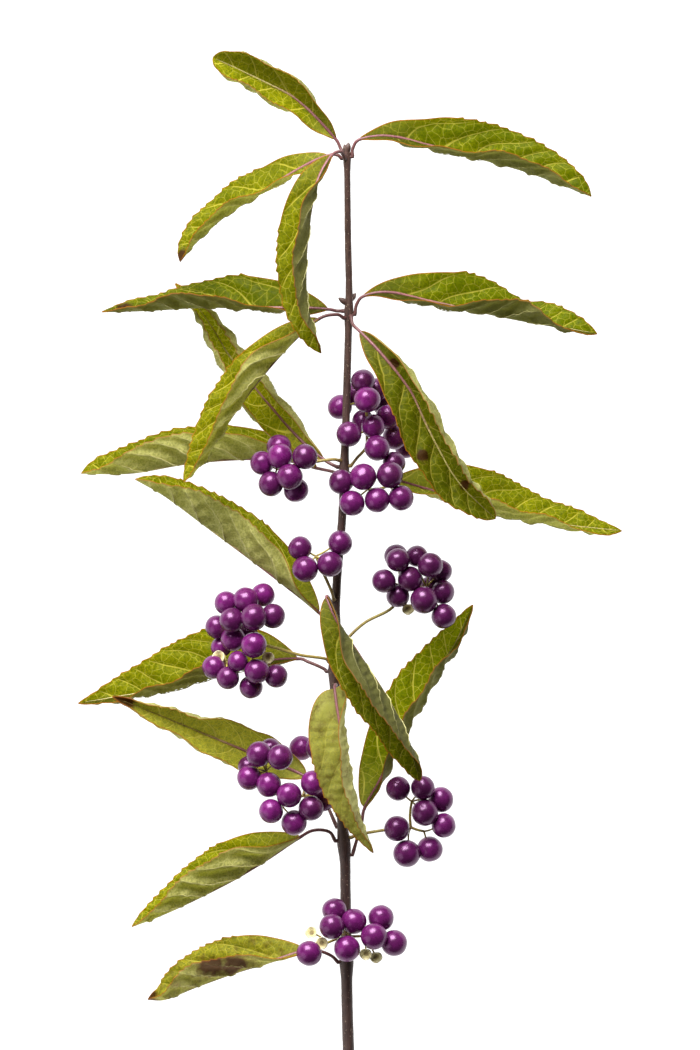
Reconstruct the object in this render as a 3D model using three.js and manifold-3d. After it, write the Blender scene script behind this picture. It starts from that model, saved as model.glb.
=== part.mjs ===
// Beautyberry sprig: a cut woody twig that lies on its cut end and two leaf tips, with toothed leaves
// folded along the midrib and bunches of purple berries in the leaf axils.
// Millimetres, +X to the photograph's right, +Y to its top, +Z towards its viewer, floor at z = 0.
import * as THREE from "three";
import { mergeVertices } from "three/addons/utils/BufferGeometryUtils.js";
import Module from "manifold-3d";

const wasm = await Module();
wasm.setup();

// Driving dimensions, in millimetres
const BERRY_DIAMETER = 4.4;
const STEM_END_DIAMETER = 2.1;
const STEM_TOP_DIAMETER = 1.1;
const NODE_SWELL = 0.32;
const NODE_SWELL_LENGTH = 2.2;
const BLADE_THICKNESS = 0.6;
const BLADE_END_HALF_WIDTH = 0.4;
const LEAF_STALK_DIAMETER = 1.0;
const TOOTH_HEIGHT = 0.55;
const SMALL_TOOTH_REACH = 3;
const BUNCH_STALK_DIAMETER = 0.8;
const BRANCH_DIAMETER = 0.7;
const PEDICEL_DIAMETER = 0.56;
const KNOT_DIAMETER = 0.9;
const BUD_RADII = [0.5, 0.45, 0.18];
const STEM_GAP = 0.32;
const BERRY_GAP = -0.06;

// The blade's skin: shares of the length with a plain margin and with teeth, how far each tooth leans
// towards the tip, and the columns from margin to margin
const PLAIN_ROWS = [0, 0.09, 0.19];
const FIRST_TOOTH = 0.3;
const LAST_TOOTH = 0.95;
const TOOTH_LEAN = 0.8;
const BLADE_COLUMNS = [-1, -0.55, 0, 0.55, 1];

// Stalks: shares of a leaf stalk's length with a ring, how much thinner a stalk is at its foot, and
// the share of a bud's length at which it starts to narrow
const STALK_ROWS = [0, 0.4, 0.75];
const STALK_FOOT_SHARE = 0.6;
const BUD_SHOULDER = 0.7;

// Counts
const TEETH_PER_SIDE = 7;
const CURVE_SAMPLES = 240;
const STEM_RINGS = 30;
const STEM_SIDES = 7;
const STALK_SIDES = 4;
const PEDICEL_SIDES = 3;
const BERRY_SIDES = 6;
const BERRY_RINGS = 5;

// How the photograph maps to the part: a berry is BERRY_PIXELS wide in its 700 x 1050 frame
const BERRY_PIXELS = 24.4;
const PIXEL = BERRY_DIAMETER / BERRY_PIXELS;
const MIDDLE = { x: 349.9, y: 556.6 };

// The stem rises from its cut end on the floor towards the top of the sprig
const STEM_END_Y = 1062;
const STEM_TOP_Y = 153;
const STEM_END_HEIGHT = 0.94;
const STEM_SLOPE = 0.129;
const STEM_NODES = [157, 313, 470, 625, 672, 845, 963];
const STEM_LINE = [
  [347, 153], [348, 240], [349, 300], [346.5, 400], [344.5, 460], [342, 520], [337, 580],
  [334, 660], [338, 750], [342, 820], [345, 860], [345.5, 890], [347, 1000], [348.7, 1062],
];

// Each leaf: the stem height it leaves from, its stalk and its midrib as [x, y, depth from the stem's
// axis line], the half width of its flattened blade, and the angle in degrees at which the half on the
// left and on the right of the midrib rises towards the viewer, at four places from base to tip.
// Widest is the share of its length where the blade is widest, basePower how fast it widens from its
// base (1 is a straight wedge), and curl the further turn of each half from midrib to margin.
const LEAVES = {
  leaf_top_rear_left: {
    node: 155, stalk: [[340, 148, -1.2]],
    midrib: [[335, 139, -1.4], [316, 118, -2], [292, 97, -3.2], [255, 78, -4.6], [213, 58, -5.2]],
    halfWidth: 5.4, widest: 0.56, basePower: 0.85,
    left: [45, 48, 60, 50], right: [58, 54, 46, 40], curl: [60, 55],
  },
  leaf_top_left: {
    node: 160, stalk: [[337, 156, 0.4]],
    midrib: [[327, 157, 0.2], [300, 170, -0.8], [262, 193, -2], [225, 217, -3], [197, 242, -3.4],
      [180, 262, -3]],
    halfWidth: 5.3, widest: 0.5, basePower: 0.85,
    left: [85, 104, 112, 100], right: [-25, -36, -36, -20], curl: [20, 10],
  },
  leaf_top_front: {
    node: 159, stalk: [[341, 153, 2.2]],
    midrib: [[331, 158, 4], [318, 184, 6.6], [310, 222, 8.6], [306.5, 265, 9.8], [308, 308, 10.2],
      [321, 354, 9.6]],
    halfWidth: 5.6, widest: 0.46, basePower: 0.85,
    left: [75, 112, 116, 90], right: [10, -14, -18, 10], curl: [25, 15],
  },
  leaf_top_right: {
    node: 157, stalk: [[353, 149, 0.2]],
    midrib: [[361, 140, 0.2], [390, 137.5, -0.2], [430, 147, -0.8], [475, 158.5, -1.4],
      [530, 174, -1.6],
      [591, 197, -1.2]],
    halfWidth: 6.6, widest: 0.5, basePower: 0.85,
    left: [32, 14, -6, 5], right: [70, 108, 112, 100], curl: [15, 25],
  },
  leaf_second_left: {
    node: 312, stalk: [[336, 311, -0.7]],
    midrib: [[327, 309.5, -0.3], [300, 308.5, -1], [255, 308.5, -1.8], [205, 307.5, -2.4],
      [150, 310.5, -2.6],
      [102, 312, -2.2]],
    halfWidth: 6.1, widest: 0.42, basePower: 0.85,
    left: [78, 112, 121, 100], right: [15, -12, -44, -48], curl: [25, 10],
  },
  leaf_second_right: {
    node: 314, stalk: [[357, 304, 0.2]],
    midrib: [[365, 296, 0.2], [390, 293, -0.2], [430, 302, -0.8], [480, 312.5, -1.4],
      [530, 322.5, -1.4],
      [597, 334, -0.6]],
    halfWidth: 6.5, widest: 0.45, basePower: 0.85,
    left: [25, 0, -34, 20], right: [72, 106, 126, 75], curl: [10, 30],
  },
  leaf_second_front_left: {
    node: 318, stalk: [[336, 315, 1.8]],
    midrib: [[318, 320, 2.6], [290, 346, 4.6], [258, 383, 6], [228, 424, 6.6], [204, 461, 6.4],
      [184, 482, 5.8]],
    halfWidth: 6.1, widest: 0.47, basePower: 0.85,
    left: [95, 136, 112, 95], right: [0, -16, -22, -20], curl: [30, 10],
  },
  leaf_second_front_right: {
    node: 317, stalk: [[353, 325, 2.2]],
    midrib: [[361, 333, 3.6], [382, 355, 6], [410, 391, 8], [430, 433, 9], [458, 482, 9.2],
      [495, 519, 8.4]],
    halfWidth: 6.0, widest: 0.5, basePower: 0.85,
    left: [48, 68, 62, 50], right: [32, 36, 34, 35], curl: [75, 25],
  },
  leaf_third_rising: {
    node: 467, stalk: [[331, 464, -0.2]],
    midrib: [[322, 458, -1.2], [298, 437, -4], [263, 397, -6.6], [231, 358, -8.4], [205, 317, -9.8],
      [175, 283, -10.4]],
    halfWidth: 6.0, widest: 0.42, basePower: 0.85,
    left: [28, 32, 60, 62], right: [55, 64, 58, 52], curl: [40, 60],
  },
  leaf_third_left: {
    node: 473, stalk: [[330, 471, -2.2]],
    midrib: [[316, 468, -4.2], [285, 461, -7.8], [240, 459.5, -9.8], [185, 464, -10.9],
      [130, 473, -12.2],
      [80, 473, -14.34]],
    halfWidth: 6.7, widest: 0.5, basePower: 0.85,
    left: [120, 138, 148, 100], right: [0, -12, -8, 0], curl: [20, 10],
  },
  leaf_third_right: {
    node: 473, stalk: [[358, 475, -1.6], [376, 477, -2.6]],
    midrib: [[394, 480, -3.2], [432, 491, -4.6], [472, 505, -6.2], [515, 518, -8.2], [562, 525, -10],
      [623, 531, -12.86]],
    halfWidth: 7.0, widest: 0.38, basePower: 0.85,
    left: [20, 2, -30, -20], right: [66, 108, 104, 45], curl: [10, 30],
  },
  leaf_fourth_rising: {
    node: 634, stalk: [[323.5, 620, 0.2]],
    midrib: [[318, 612, 0], [290, 590, -0.8], [250, 559.5, -2], [205, 526, -3], [166, 497, -3.6],
      [135, 479, -3.4]],
    halfWidth: 6.8, widest: 0.46, basePower: 0.85,
    left: [95, 140, 146, 118], right: [10, 0, -14, -20], curl: [30, 10],
  },
  leaf_fourth_front: {
    node: 622, stalk: [[330, 601, 3.4]],
    midrib: [[327, 598, 5.8], [336, 623, 8], [353, 655, 9.4], [376, 695, 10], [397, 732, 9.6],
      [420, 781, 8]],
    halfWidth: 5.6, widest: 0.46, basePower: 0.85,
    left: [62, 84, 70, 50], right: [24, 24, 34, 40], curl: [120, 20],
  },
  leaf_fifth_left: {
    node: 671, stalk: [[323, 668.5, -0.4], [308, 662, -0.8]],
    midrib: [[297, 659, -1.8], [262, 660, -4.6], [213, 670, -6.8], [165, 680, -7.6], [120, 690.5, -7.8],
      [77, 704, -7.6]],
    halfWidth: 7.6, widest: 0.36, basePower: 0.85,
    left: [72, 98, 92, 60], right: [20, 6, 6, 10], curl: [90, 10],
  },
  leaf_fifth_front: {
    node: 693, stalk: [[336, 685, 2.8]],
    midrib: [[335, 689, 5.2], [339, 716, 7.6], [345.5, 750, 8.8], [353, 788, 9], [361, 820, 8.4],
      [373, 853, 7]],
    halfWidth: 6.3, widest: 0.36, basePower: 0.5,
    left: [75, 86, 84, 75], right: [10, 8, 12, 20], curl: [100, 20],
  },
  leaf_sixth_rising: {
    node: 828, stalk: [[327, 806, -2.4], [317, 787, -2.6]],
    midrib: [[305, 777, -2.4], [262, 759, -5.8], [215, 739.5, -6.4], [165, 718.5, -5.2],
      [112, 697, -2.6]],
    halfWidth: 5.8, widest: 0.38, basePower: 0.6,
    left: [50, 46, 55, 50], right: [24, 30, 55, 50], curl: [45, 60],
  },
  leaf_sixth_right: {
    node: 856, stalk: [[357, 840, -0.2], [362, 822, -0.6]],
    midrib: [[365, 808, -0.8], [381, 780, -1.6], [404, 734, -3], [431, 685, -4.2],
      [455, 645, -4.8], [473, 605, -4.8]],
    halfWidth: 6.4, widest: 0.42, basePower: 0.7,
    left: [10, 10, 14, 25], right: [84, 104, 100, 70], curl: [10, 50],
  },
  leaf_sixth_left: {
    node: 842, stalk: [[329, 832.5, 0.2], [314, 831, 0.2]],
    midrib: [[300, 838, 0], [270, 859, -0.4], [235, 880.5, -0.8], [195, 901, -1], [160, 917, -1],
      [131, 928, -0.6]],
    halfWidth: 7.1, widest: 0.42, basePower: 0.85,
    left: [105, 140, 140, 105], right: [0, 0, -20, -30], curl: [30, 10],
  },
  leaf_seventh_left: {
    node: 964, stalk: [[331, 957, 0.8], [318, 952, 1.2]],
    midrib: [[305, 952, 1.4], [275, 962, 1.4], [235, 974.5, 1.2], [195, 989, 1], [165, 1001, 0.8],
      [147, 1001, 0.8]],
    halfWidth: 6.6, widest: 0.48, basePower: 0.85,
    left: [80, 116, 134, 110], right: [0, -4, -8, 0], curl: [30, 10],
  },
};

// Each bunch: the stem height its stalk leaves from, the stalk and the places where it forks, and its
// berries as [x, y, size] from the nearest the viewer to the farthest, size 1 being BERRY_DIAMETER.
// A fourth number is the greatest depth of a berry that sits behind the stem or a leaf.
const BUNCHES = {
  bunch_third_right_upper: {
    node: 466, stalk: [[357, 458, 0.6], [366, 447, 0.4]],
    forks: [[367, 430, -0.2], [365, 400, -0.8], [389, 425, -1.4]], front: 3.6, roundness: 26,
    berries: [
      [349, 434, 1.0], [377, 448, 1.02], [367, 400, 1.04], [373, 426, 0.95], [363, 381, 0.95],
      [388, 417, 1],
      [395, 437, 1], [376, 390, 0.95], [340, 407, 0.98, -3.2], [384, 404, 0.95], [355, 394, 0.92, -2.6],
      [406, 447, 0.9], [363, 421, 0.9],
    ],
  },
  bunch_third_right_lower: {
    node: 476, stalk: [[358, 483, 0.8]],
    forks: [[368, 489, 1.4], [389, 486, 1]], front: 5.8, roundness: 34,
    berries: [
      [363, 477, 1.06], [352, 503, 1.02], [390, 475, 1.06], [377, 500, 1], [401, 498, 1],
      [341, 482, 1], [394, 463, 0.92],
    ],
  },
  bunch_third_left: {
    node: 461, stalk: [[332, 459.5, 1.8], [314, 462, 2.2]],
    forks: [[292, 466, 2], [277, 469, 1.6]], front: 6.8, roundness: 26,
    berries: [
      [290, 477, 1.04], [280, 456, 1], [305, 457, 1], [271, 484, 1], [262, 463, 0.96],
      [279, 447, 1.02], [296, 490, 1],
    ],
  },
  bunch_fourth_front: {
    node: 600, stalk: [[331, 590, 2.4], [322, 570, 2.4]],
    forks: [[316, 556, 2.6]], front: 5, roundness: 60,
    berries: [[305, 569, 1.02], [330, 564, 1.02], [300, 548, 0.96], [340, 543, 0.98]],
  },
  bunch_fourth_right: {
    node: 648, stalk: [[349, 637, -0.6], [366, 622, -1.2], [392, 608, -1.4]],
    forks: [[404, 588, -1.6], [427, 588, -1.6]], front: 2.4, roundness: 30,
    berries: [
      [424, 600, 1.08], [444, 616, 0.98], [398, 560, 0.96], [430, 565, 1], [410, 579, 1],
      [384, 581, 0.95],
      [398, 596, 0.93], [443, 592, 0.95], [417, 556, 0.86], [396, 556, 0.94], [441, 571, 0.9],
      [430, 587, 0.86],
    ],
  },
  bunch_fifth_left: {
    node: 662, stalk: [[324, 658.5, 1.6], [300, 655, 3], [280, 649, 3.8]],
    forks: [[264, 645, 4], [250, 611, 4], [229, 632, 3.6], [246, 669, 4], [226, 662, 3.4]],
      front: 8.4, roundness: 44,
    berries: [
      [254, 617, 1.06], [254, 645, 1.03], [232, 620, 1], [257, 671, 1], [233, 639, 1],
      [246, 600, 1.02], [263, 595, 0.95],
      [273, 616, 0.98], [238, 661, 0.8], [226, 603, 0.95], [217, 627, 0.95], [276, 676, 0.95],
      [228, 678, 0.92],
      [214, 667, 0.95], [251, 687, 0.95], [221, 647, 0.84], [247, 633, 0.84],
    ],
  },
  bunch_sixth_left: {
    node: 817, stalk: [[333, 808, 1.8], [318, 797, 2.8]],
    forks: [[303, 796, 3.4], [280, 799, 3.6], [266, 771, 3.6], [321, 768, -2.2]],
      front: 8, roundness: 34,
    berries: [
      [280, 757, 1.02], [289, 795, 1.02], [259, 754, 1.02], [311, 808, 1], [294, 823, 1.02],
      [269, 785, 1],
      [313, 783, 1], [249, 778, 0.98], [271, 811, 0.98], [323, 801, 0.9], [248, 767, 0.84],
      [270, 749, 0.84],
      [317, 748, 0.95, -2.4], [301, 749, 1, -5.3],
    ],
  },
  bunch_sixth_right: {
    node: 838, stalk: [[360, 835, 0.6], [386, 830.5, 0.8]],
    forks: [[411, 828, 0.6], [424, 832, 0.6], [412, 802, 0.6]], front: 3, roundness: 40,
    berries: [
      [425, 813, 1.06], [423, 788, 0.95], [441, 800, 1.02], [397, 829, 1.02], [407, 854, 1.1],
      [398, 789, 0.98],
      [444, 826, 0.98], [430, 850, 1.02],
    ],
  },
  bunch_seventh_front: {
    node: 956, stalk: [[350, 950, 2.2]],
    forks: [[346, 937, 2.6], [371, 936, 2.4], [327, 944, 2.8]], front: 6.4, roundness: 32,
    berries: [
      [347, 949, 1.06], [332, 927, 1.02], [374, 937, 1.06], [354, 922, 1.02], [394, 944, 1.06],
      [309, 954, 1.02],
      [381, 919, 1.04], [334, 911, 0.98],
    ],
  },
};

// Bud stubs of the stem: where each leaves the axis, how it points and its length
const BUDS = [
  { y: 305, towards: [-0.8, 0.5, 0.2], length: 1.5 },
  { y: 302, towards: [0.6, 0.7, -0.5], length: 1.5 },
  { y: 155, towards: [0, 1, 0.1], length: 1.1 },
];

const bark = new THREE.MeshStandardMaterial({ color: "#6b4d43", roughness: 0.75, metalness: 0 });
const leafGreen = new THREE.MeshStandardMaterial({ color: "#7d8420", roughness: 0.55, metalness: 0 });
const berryPurple = new THREE.MeshStandardMaterial({ color: "#722b70", roughness: 0.3, metalness: 0 });

// Height of the stem's axis line above the floor at a height of the photograph
function stemHeight(y) {
  return STEM_END_HEIGHT + (STEM_END_Y - y) * PIXEL * STEM_SLOPE;
}

// A place of the photograph, with a depth from the stem's axis line, in the part's frame
function spot(x, y, depth) {
  return new THREE.Vector3((x - MIDDLE.x) * PIXEL, (MIDDLE.y - y) * PIXEL, stemHeight(y) + depth);
}

function curveThrough(points) {
  return new THREE.CatmullRomCurve3(points, false, "catmullrom", 0.5);
}

const stemCurve = curveThrough(STEM_LINE.map(([x, y]) => spot(x, y, 0)));

function stemRadius(point) {
  const end = spot(0, STEM_END_Y, 0).y;
  const top = spot(0, STEM_TOP_Y, 0).y;
  const share = THREE.MathUtils.clamp((point.y - end) / (top - end), 0, 1);
  const plain = THREE.MathUtils.lerp(STEM_END_DIAMETER, STEM_TOP_DIAMETER, share) / 2;
  const swell = STEM_NODES.reduce((sum, y) => {
    const away = (point.y - spot(0, y, 0).y) / NODE_SWELL_LENGTH;
    return sum + Math.exp(-away * away);
  }, 0);
  return plain * (1 + NODE_SWELL * Math.min(swell, 1));
}

// The stem's axis point at a height of the photograph
function stemPoint(y) {
  const samples = stemCurve.getPoints(CURVE_SAMPLES * 3);
  const level = spot(0, y, 0).y;
  return samples.reduce((best, p) => (Math.abs(p.y - level) < Math.abs(best.y - level) ? p : best));
}

// Where a stalk that heads for a place leaves the stem's surface
function stemExit(y, towards) {
  const axis = stemPoint(y);
  const out = towards.clone().sub(axis);
  const along = new THREE.Vector3(0, 1, 0);
  const side = out.clone().addScaledVector(along, -out.dot(along)).normalize();
  return axis.addScaledVector(side, stemRadius(axis) + STEM_GAP);
}

function closedGeometry(vertices, triangles) {
  const geometry = new THREE.BufferGeometry();
  const numbers = vertices.flatMap((p) => p.toArray());
  geometry.setAttribute("position", new THREE.Float32BufferAttribute(numbers, 3));
  geometry.setIndex(triangles.flat());
  return geometry;
}

// A closed tube of a given radius at each point of a path
function taperedTube(points, radii, sides) {
  const tangents = points.map((p, i) => {
    const before = points[Math.max(i - 1, 0)];
    const after = points[Math.min(i + 1, points.length - 1)];
    return after.clone().sub(before).normalize();
  });
  const start = Math.abs(tangents[0].z) < 0.8 ? new THREE.Vector3(0, 0, 1) : new THREE.Vector3(1, 0, 0);
  let across = start.addScaledVector(tangents[0], -start.dot(tangents[0])).normalize();
  const vertices = [];
  points.forEach((p, i) => {
    across = across.clone().addScaledVector(tangents[i], -across.dot(tangents[i])).normalize();
    const over = new THREE.Vector3().crossVectors(tangents[i], across);
    for (let k = 0; k < sides; k += 1) {
      const turn = (2 * Math.PI * k) / sides;
      const out = across.clone().multiplyScalar(Math.cos(turn)).addScaledVector(over, Math.sin(turn));
      vertices.push(p.clone().addScaledVector(out, radii[i]));
    }
  });
  const triangles = [];
  for (let i = 0; i + 1 < points.length; i += 1) {
    for (let k = 0; k < sides; k += 1) {
      const a = i * sides + k;
      const b = i * sides + ((k + 1) % sides);
      triangles.push([a, b, b + sides], [a, b + sides, a + sides]);
    }
  }
  const last = (points.length - 1) * sides;
  for (let k = 1; k + 1 < sides; k += 1) {
    triangles.push([0, k + 1, k], [last, last + k, last + k + 1]);
  }
  return closedGeometry(vertices, triangles);
}

function toSolid(geometry) {
  geometry.deleteAttribute("normal");
  geometry.deleteAttribute("uv");
  const merged = mergeVertices(geometry, 1e-5);
  const mesh = new wasm.Mesh({
    numProp: 3,
    vertProperties: new Float32Array(merged.attributes.position.array),
    triVerts: new Uint32Array(merged.index.array),
  });
  return new wasm.Manifold(mesh);
}

function joined(geometries) {
  const whole = geometries.map(toSolid).reduce((sum, solid) => sum.add(solid));
  const mesh = whole.getMesh();
  const geometry = new THREE.BufferGeometry();
  geometry.setAttribute("position", new THREE.BufferAttribute(new Float32Array(mesh.vertProperties), 3));
  geometry.setIndex(new THREE.BufferAttribute(new Uint32Array(mesh.triVerts), 1));
  geometry.computeVertexNormals();
  return geometry;
}

// A value given at evenly spaced places from base to tip, read between them
function between(values, share) {
  const place = share * (values.length - 1);
  const low = Math.min(Math.floor(place), values.length - 2);
  const ease = THREE.MathUtils.smoothstep(place - low, 0, 1);
  return THREE.MathUtils.lerp(values[low], values[low + 1], ease);
}

// Half width of a blade as a share of its greatest, from a wedge-shaped base to a drawn-out tip
function bladeOutline({ widest, basePower }, share) {
  const tipPower = (basePower * (1 - widest)) / widest;
  return Math.pow(share / widest, basePower) * Math.pow((1 - share) / (1 - widest), tipPower);
}

function leafFrames(leaf) {
  const first = spot(...(leaf.stalk[0]));
  const exit = stemExit(leaf.node, first);
  const stalk = leaf.stalk.map((p) => spot(...p));
  const curve = curveThrough([exit, ...stalk, ...leaf.midrib.map((p) => spot(...p))]);
  const baseAt = (1 + stalk.length) / (stalk.length + leaf.midrib.length);
  const count = CURVE_SAMPLES;
  const midribAt = (share) => curve.getPoint(baseAt + (1 - baseAt) * share);
  const samples = Array.from({ length: count + 1 }, (_, i) => midribAt(i / count));
  const lengths = samples.map(() => 0);
  for (let i = 1; i <= count; i += 1) {
    lengths[i] = lengths[i - 1] + samples[i].distanceTo(samples[i - 1]);
  }
  const stalkPoints = STALK_ROWS.map((share) => curve.getPoint(baseAt * share));
  const frameAt = (share) => {
    const goal = share * lengths[count];
    let i = lengths.findIndex((length) => length >= goal);
    i = Math.min(Math.max(i, 1), count);
    const part = (goal - lengths[i - 1]) / (lengths[i] - lengths[i - 1]);
    const point = samples[i - 1].clone().lerp(samples[i], part);
    const tangent = samples[Math.min(i + 3, count)].clone().sub(samples[Math.max(i - 4, 0)]).normalize();
    const leftward = new THREE.Vector3(0, 0, 1).cross(tangent).normalize();
    const upward = new THREE.Vector3().crossVectors(tangent, leftward);
    return { point, leftward, upward };
  };
  return { frameAt, stalkPoints };
}

// A point of the blade's middle surface and its upper-face normal; across runs from -1 to 1, left to right,
// and extra is the height of a tooth, which shrinks where the half is narrower than SMALL_TOOTH_REACH
function bladePoint(leaf, frameAt, share, across, extra) {
  const frame = frameAt(share);
  const isLeft = across < 0;
  const rise = THREE.MathUtils.degToRad(between(isLeft ? leaf.left : leaf.right, share));
  const curl = THREE.MathUtils.degToRad(leaf.curl[isLeft ? 0 : 1]) + 1e-4;
  const reach = BLADE_END_HALF_WIDTH + (leaf.halfWidth - BLADE_END_HALF_WIDTH) * bladeOutline(leaf, share);
  const run = Math.abs(across) * reach + extra * Math.min(1, reach / SMALL_TOOTH_REACH);
  const bend = curl / (reach + TOOTH_HEIGHT);
  const start = rise - curl / 2;
  const end = start + bend * run;
  const sideways = (Math.sin(end) - Math.sin(start)) / bend;
  const towards = (Math.cos(start) - Math.cos(end)) / bend;
  const side = frame.leftward.clone().multiplyScalar(isLeft ? 1 : -1);
  const point = frame.point.clone().addScaledVector(side, sideways).addScaledVector(frame.upward, towards);
  const normal = side.clone().multiplyScalar(-Math.sin(end)).addScaledVector(frame.upward, Math.cos(end));
  return { point, normal };
}

// At the midrib the two faces meet, so the blade's thickness is measured along their shared normal
function foldPoint(leaf, frameAt, share) {
  const left = bladePoint(leaf, frameAt, share, -1e-6, 0);
  const right = bladePoint(leaf, frameAt, share, 1e-6, 0);
  const normal = left.normal.clone().add(right.normal).normalize();
  const lean = Math.max(normal.dot(left.normal), 0.6);
  return { point: left.point, normal: normal.divideScalar(lean) };
}

// Rings of the leaf's stalk from the stem to the blade, each starting at its upper left like the blade's
// first row, so that stalk and blade grow into one skin
function stalkRings(frameAt, stalkPoints, ringSize) {
  const base = frameAt(0);
  const path = [...stalkPoints, base.point];
  const rings = [];
  let leftward = base.leftward;
  for (let i = stalkPoints.length - 1; i >= 0; i -= 1) {
    const tangent = path[i + 1].clone().sub(path[Math.max(i - 1, 0)]).normalize();
    leftward = leftward.clone().addScaledVector(tangent, -leftward.dot(tangent)).normalize();
    const upward = new THREE.Vector3().crossVectors(tangent, leftward);
    const radius = (LEAF_STALK_DIAMETER / 2) * (i === 0 ? STALK_FOOT_SHARE : 1);
    rings.unshift(Array.from({ length: ringSize }, (_, k) => {
      const turn = (2 * Math.PI * (k + 0.5)) / ringSize;
      return path[i].clone()
        .addScaledVector(leftward, radius * Math.cos(turn))
        .addScaledVector(upward, radius * Math.sin(turn));
    }));
  }
  return rings;
}

// A leaf as one skin: the toothed blade, with both faces split into the same triangles and joined round
// the margin, and the stalk that runs from its base to the stem
function leafGeometry(leaf) {
  const { frameAt, stalkPoints } = leafFrames(leaf);
  const pitch = (LAST_TOOTH - FIRST_TOOTH) / TEETH_PER_SIDE;
  const toothRows = Array.from({ length: TEETH_PER_SIDE + 1 }, (_, i) => FIRST_TOOTH + pitch * i);
  const rows = [...PLAIN_ROWS, ...toothRows, 1];
  const middle = [];
  const cells = [];
  const add = (entry) => middle.push(entry) - 1;
  const grid = rows.map((share) => BLADE_COLUMNS.map((across) => add(
    across === 0 ? foldPoint(leaf, frameAt, share) : bladePoint(leaf, frameAt, share, across, 0),
  )));
  const leftEdge = [];
  const rightEdge = [];
  for (let r = 0; r + 1 < rows.length; r += 1) {
    const a = grid[r];
    const b = grid[r + 1];
    leftEdge.push(a[0]);
    rightEdge.push(a[4]);
    cells.push([a[1], a[2], b[2]], [a[1], b[2], b[1]], [a[2], a[3], b[2]], [a[3], b[3], b[2]]);
    const isToothed = r >= PLAIN_ROWS.length && r < PLAIN_ROWS.length + TEETH_PER_SIDE;
    if (isToothed) {
      const share = rows[r] + pitch * TOOTH_LEAN;
      const left = add(bladePoint(leaf, frameAt, share, -1, TOOTH_HEIGHT));
      const right = add(bladePoint(leaf, frameAt, share, 1, TOOTH_HEIGHT));
      leftEdge.push(left);
      rightEdge.push(right);
      cells.push([a[0], a[1], left], [a[1], b[1], left], [b[1], b[0], left]);
      cells.push([a[3], a[4], right], [a[3], right, b[3]], [right, b[4], b[3]]);
    } else {
      cells.push([a[0], a[1], b[1]], [a[0], b[1], b[0]], [a[3], a[4], b[3]], [a[4], b[4], b[3]]);
    }
  }
  const lastRow = grid[rows.length - 1];
  const rim = [...rightEdge, ...lastRow.slice().reverse(), ...leftEdge.slice().reverse()];
  const half = BLADE_THICKNESS / 2;
  const upper = middle.map(({ point, normal }) => point.clone().addScaledVector(normal, half));
  const under = middle.map(({ point, normal }) => point.clone().addScaledVector(normal, -half));
  const below = middle.length;
  const vertices = [...upper, ...under];
  const triangles = [...cells, ...cells.map(([p, q, r]) => [p + below, r + below, q + below])];
  rim.slice(1).forEach((q, i) => {
    const p = rim[i];
    triangles.push([p, p + below, q + below], [p, q + below, q]);
  });
  const baseLoop = [...grid[0], ...grid[0].map((p) => p + below).reverse()];
  const rings = stalkRings(frameAt, stalkPoints, baseLoop.length);
  const loops = rings.map((ring) => ring.map((p) => vertices.push(p) - 1));
  loops.push(baseLoop);
  loops.slice(1).forEach((next, i) => {
    const loop = loops[i];
    loop.forEach((p, k) => {
      const after = (k + 1) % loop.length;
      triangles.push([p, loop[after], next[after]], [p, next[after], next[k]]);
    });
  });
  const foot = loops[0];
  for (let k = 1; k + 1 < foot.length; k += 1) {
    triangles.push([foot[0], foot[k + 1], foot[k]]);
  }
  const geometry = closedGeometry(vertices, triangles);
  geometry.computeVertexNormals();
  return geometry;
}

// Depth of each berry: as near the viewer as the bunch's round front and the berries before it allow
function placedBerries(bunch) {
  const placed = [];
  const middleX = bunch.berries.reduce((sum, b) => sum + b[0], 0) / bunch.berries.length;
  const middleY = bunch.berries.reduce((sum, b) => sum + b[1], 0) / bunch.berries.length;
  bunch.berries.forEach(([x, y, size, deepest]) => {
    const radius = (size * BERRY_DIAMETER) / 2;
    const away = Math.hypot(x - middleX, y - middleY) * PIXEL;
    const front = bunch.front - (away * away) / (2 * bunch.roundness);
    const centre = spot(x, y, deepest === undefined ? front : Math.min(front, deepest));
    placed.forEach((other) => {
      const reach = radius + other.radius + BERRY_GAP;
      const flat = Math.hypot(centre.x - other.centre.x, centre.y - other.centre.y);
      if (flat < reach) {
        centre.z = Math.min(centre.z, other.centre.z - Math.sqrt(reach * reach - flat * flat));
      }
    });
    placed.push({ centre, radius });
  });
  return placed;
}

function nearestOf(places, goal) {
  return places.reduce((best, place) => (place.distanceTo(goal) < best.distanceTo(goal) ? place : best));
}

function twig(fork, end, diameter, sides) {
  return taperedTube([fork, end], [diameter / 2, diameter / 2], sides);
}

function bunchGeometry(bunch) {
  const stalk = bunch.stalk.map((p) => spot(...p));
  const exit = stemExit(bunch.node, stalk[0]);
  const forks = bunch.forks.map((p) => spot(...p));
  const path = [exit, ...stalk, forks[0]];
  const stalkRadii = path.map((_, i) => (BUNCH_STALK_DIAMETER / 2) * (i === 0 ? STALK_FOOT_SHARE : 1));
  const pieces = [taperedTube(path, stalkRadii, STALK_SIDES)];
  forks.forEach((fork, i) => {
    const knot = new THREE.IcosahedronGeometry(KNOT_DIAMETER / 2, 0);
    pieces.push(knot.translate(fork.x, fork.y, fork.z));
    if (i > 0) {
      pieces.push(twig(nearestOf(forks.slice(0, i), fork), fork, BRANCH_DIAMETER, STALK_SIDES));
    }
  });
  placedBerries(bunch).forEach(({ centre, radius }) => {
    const berry = new THREE.SphereGeometry(radius, BERRY_SIDES, BERRY_RINGS);
    pieces.push(berry.translate(centre.x, centre.y, centre.z));
    pieces.push(twig(nearestOf(forks, centre), centre, PEDICEL_DIAMETER, PEDICEL_SIDES));
  });
  return joined(pieces);
}

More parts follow.
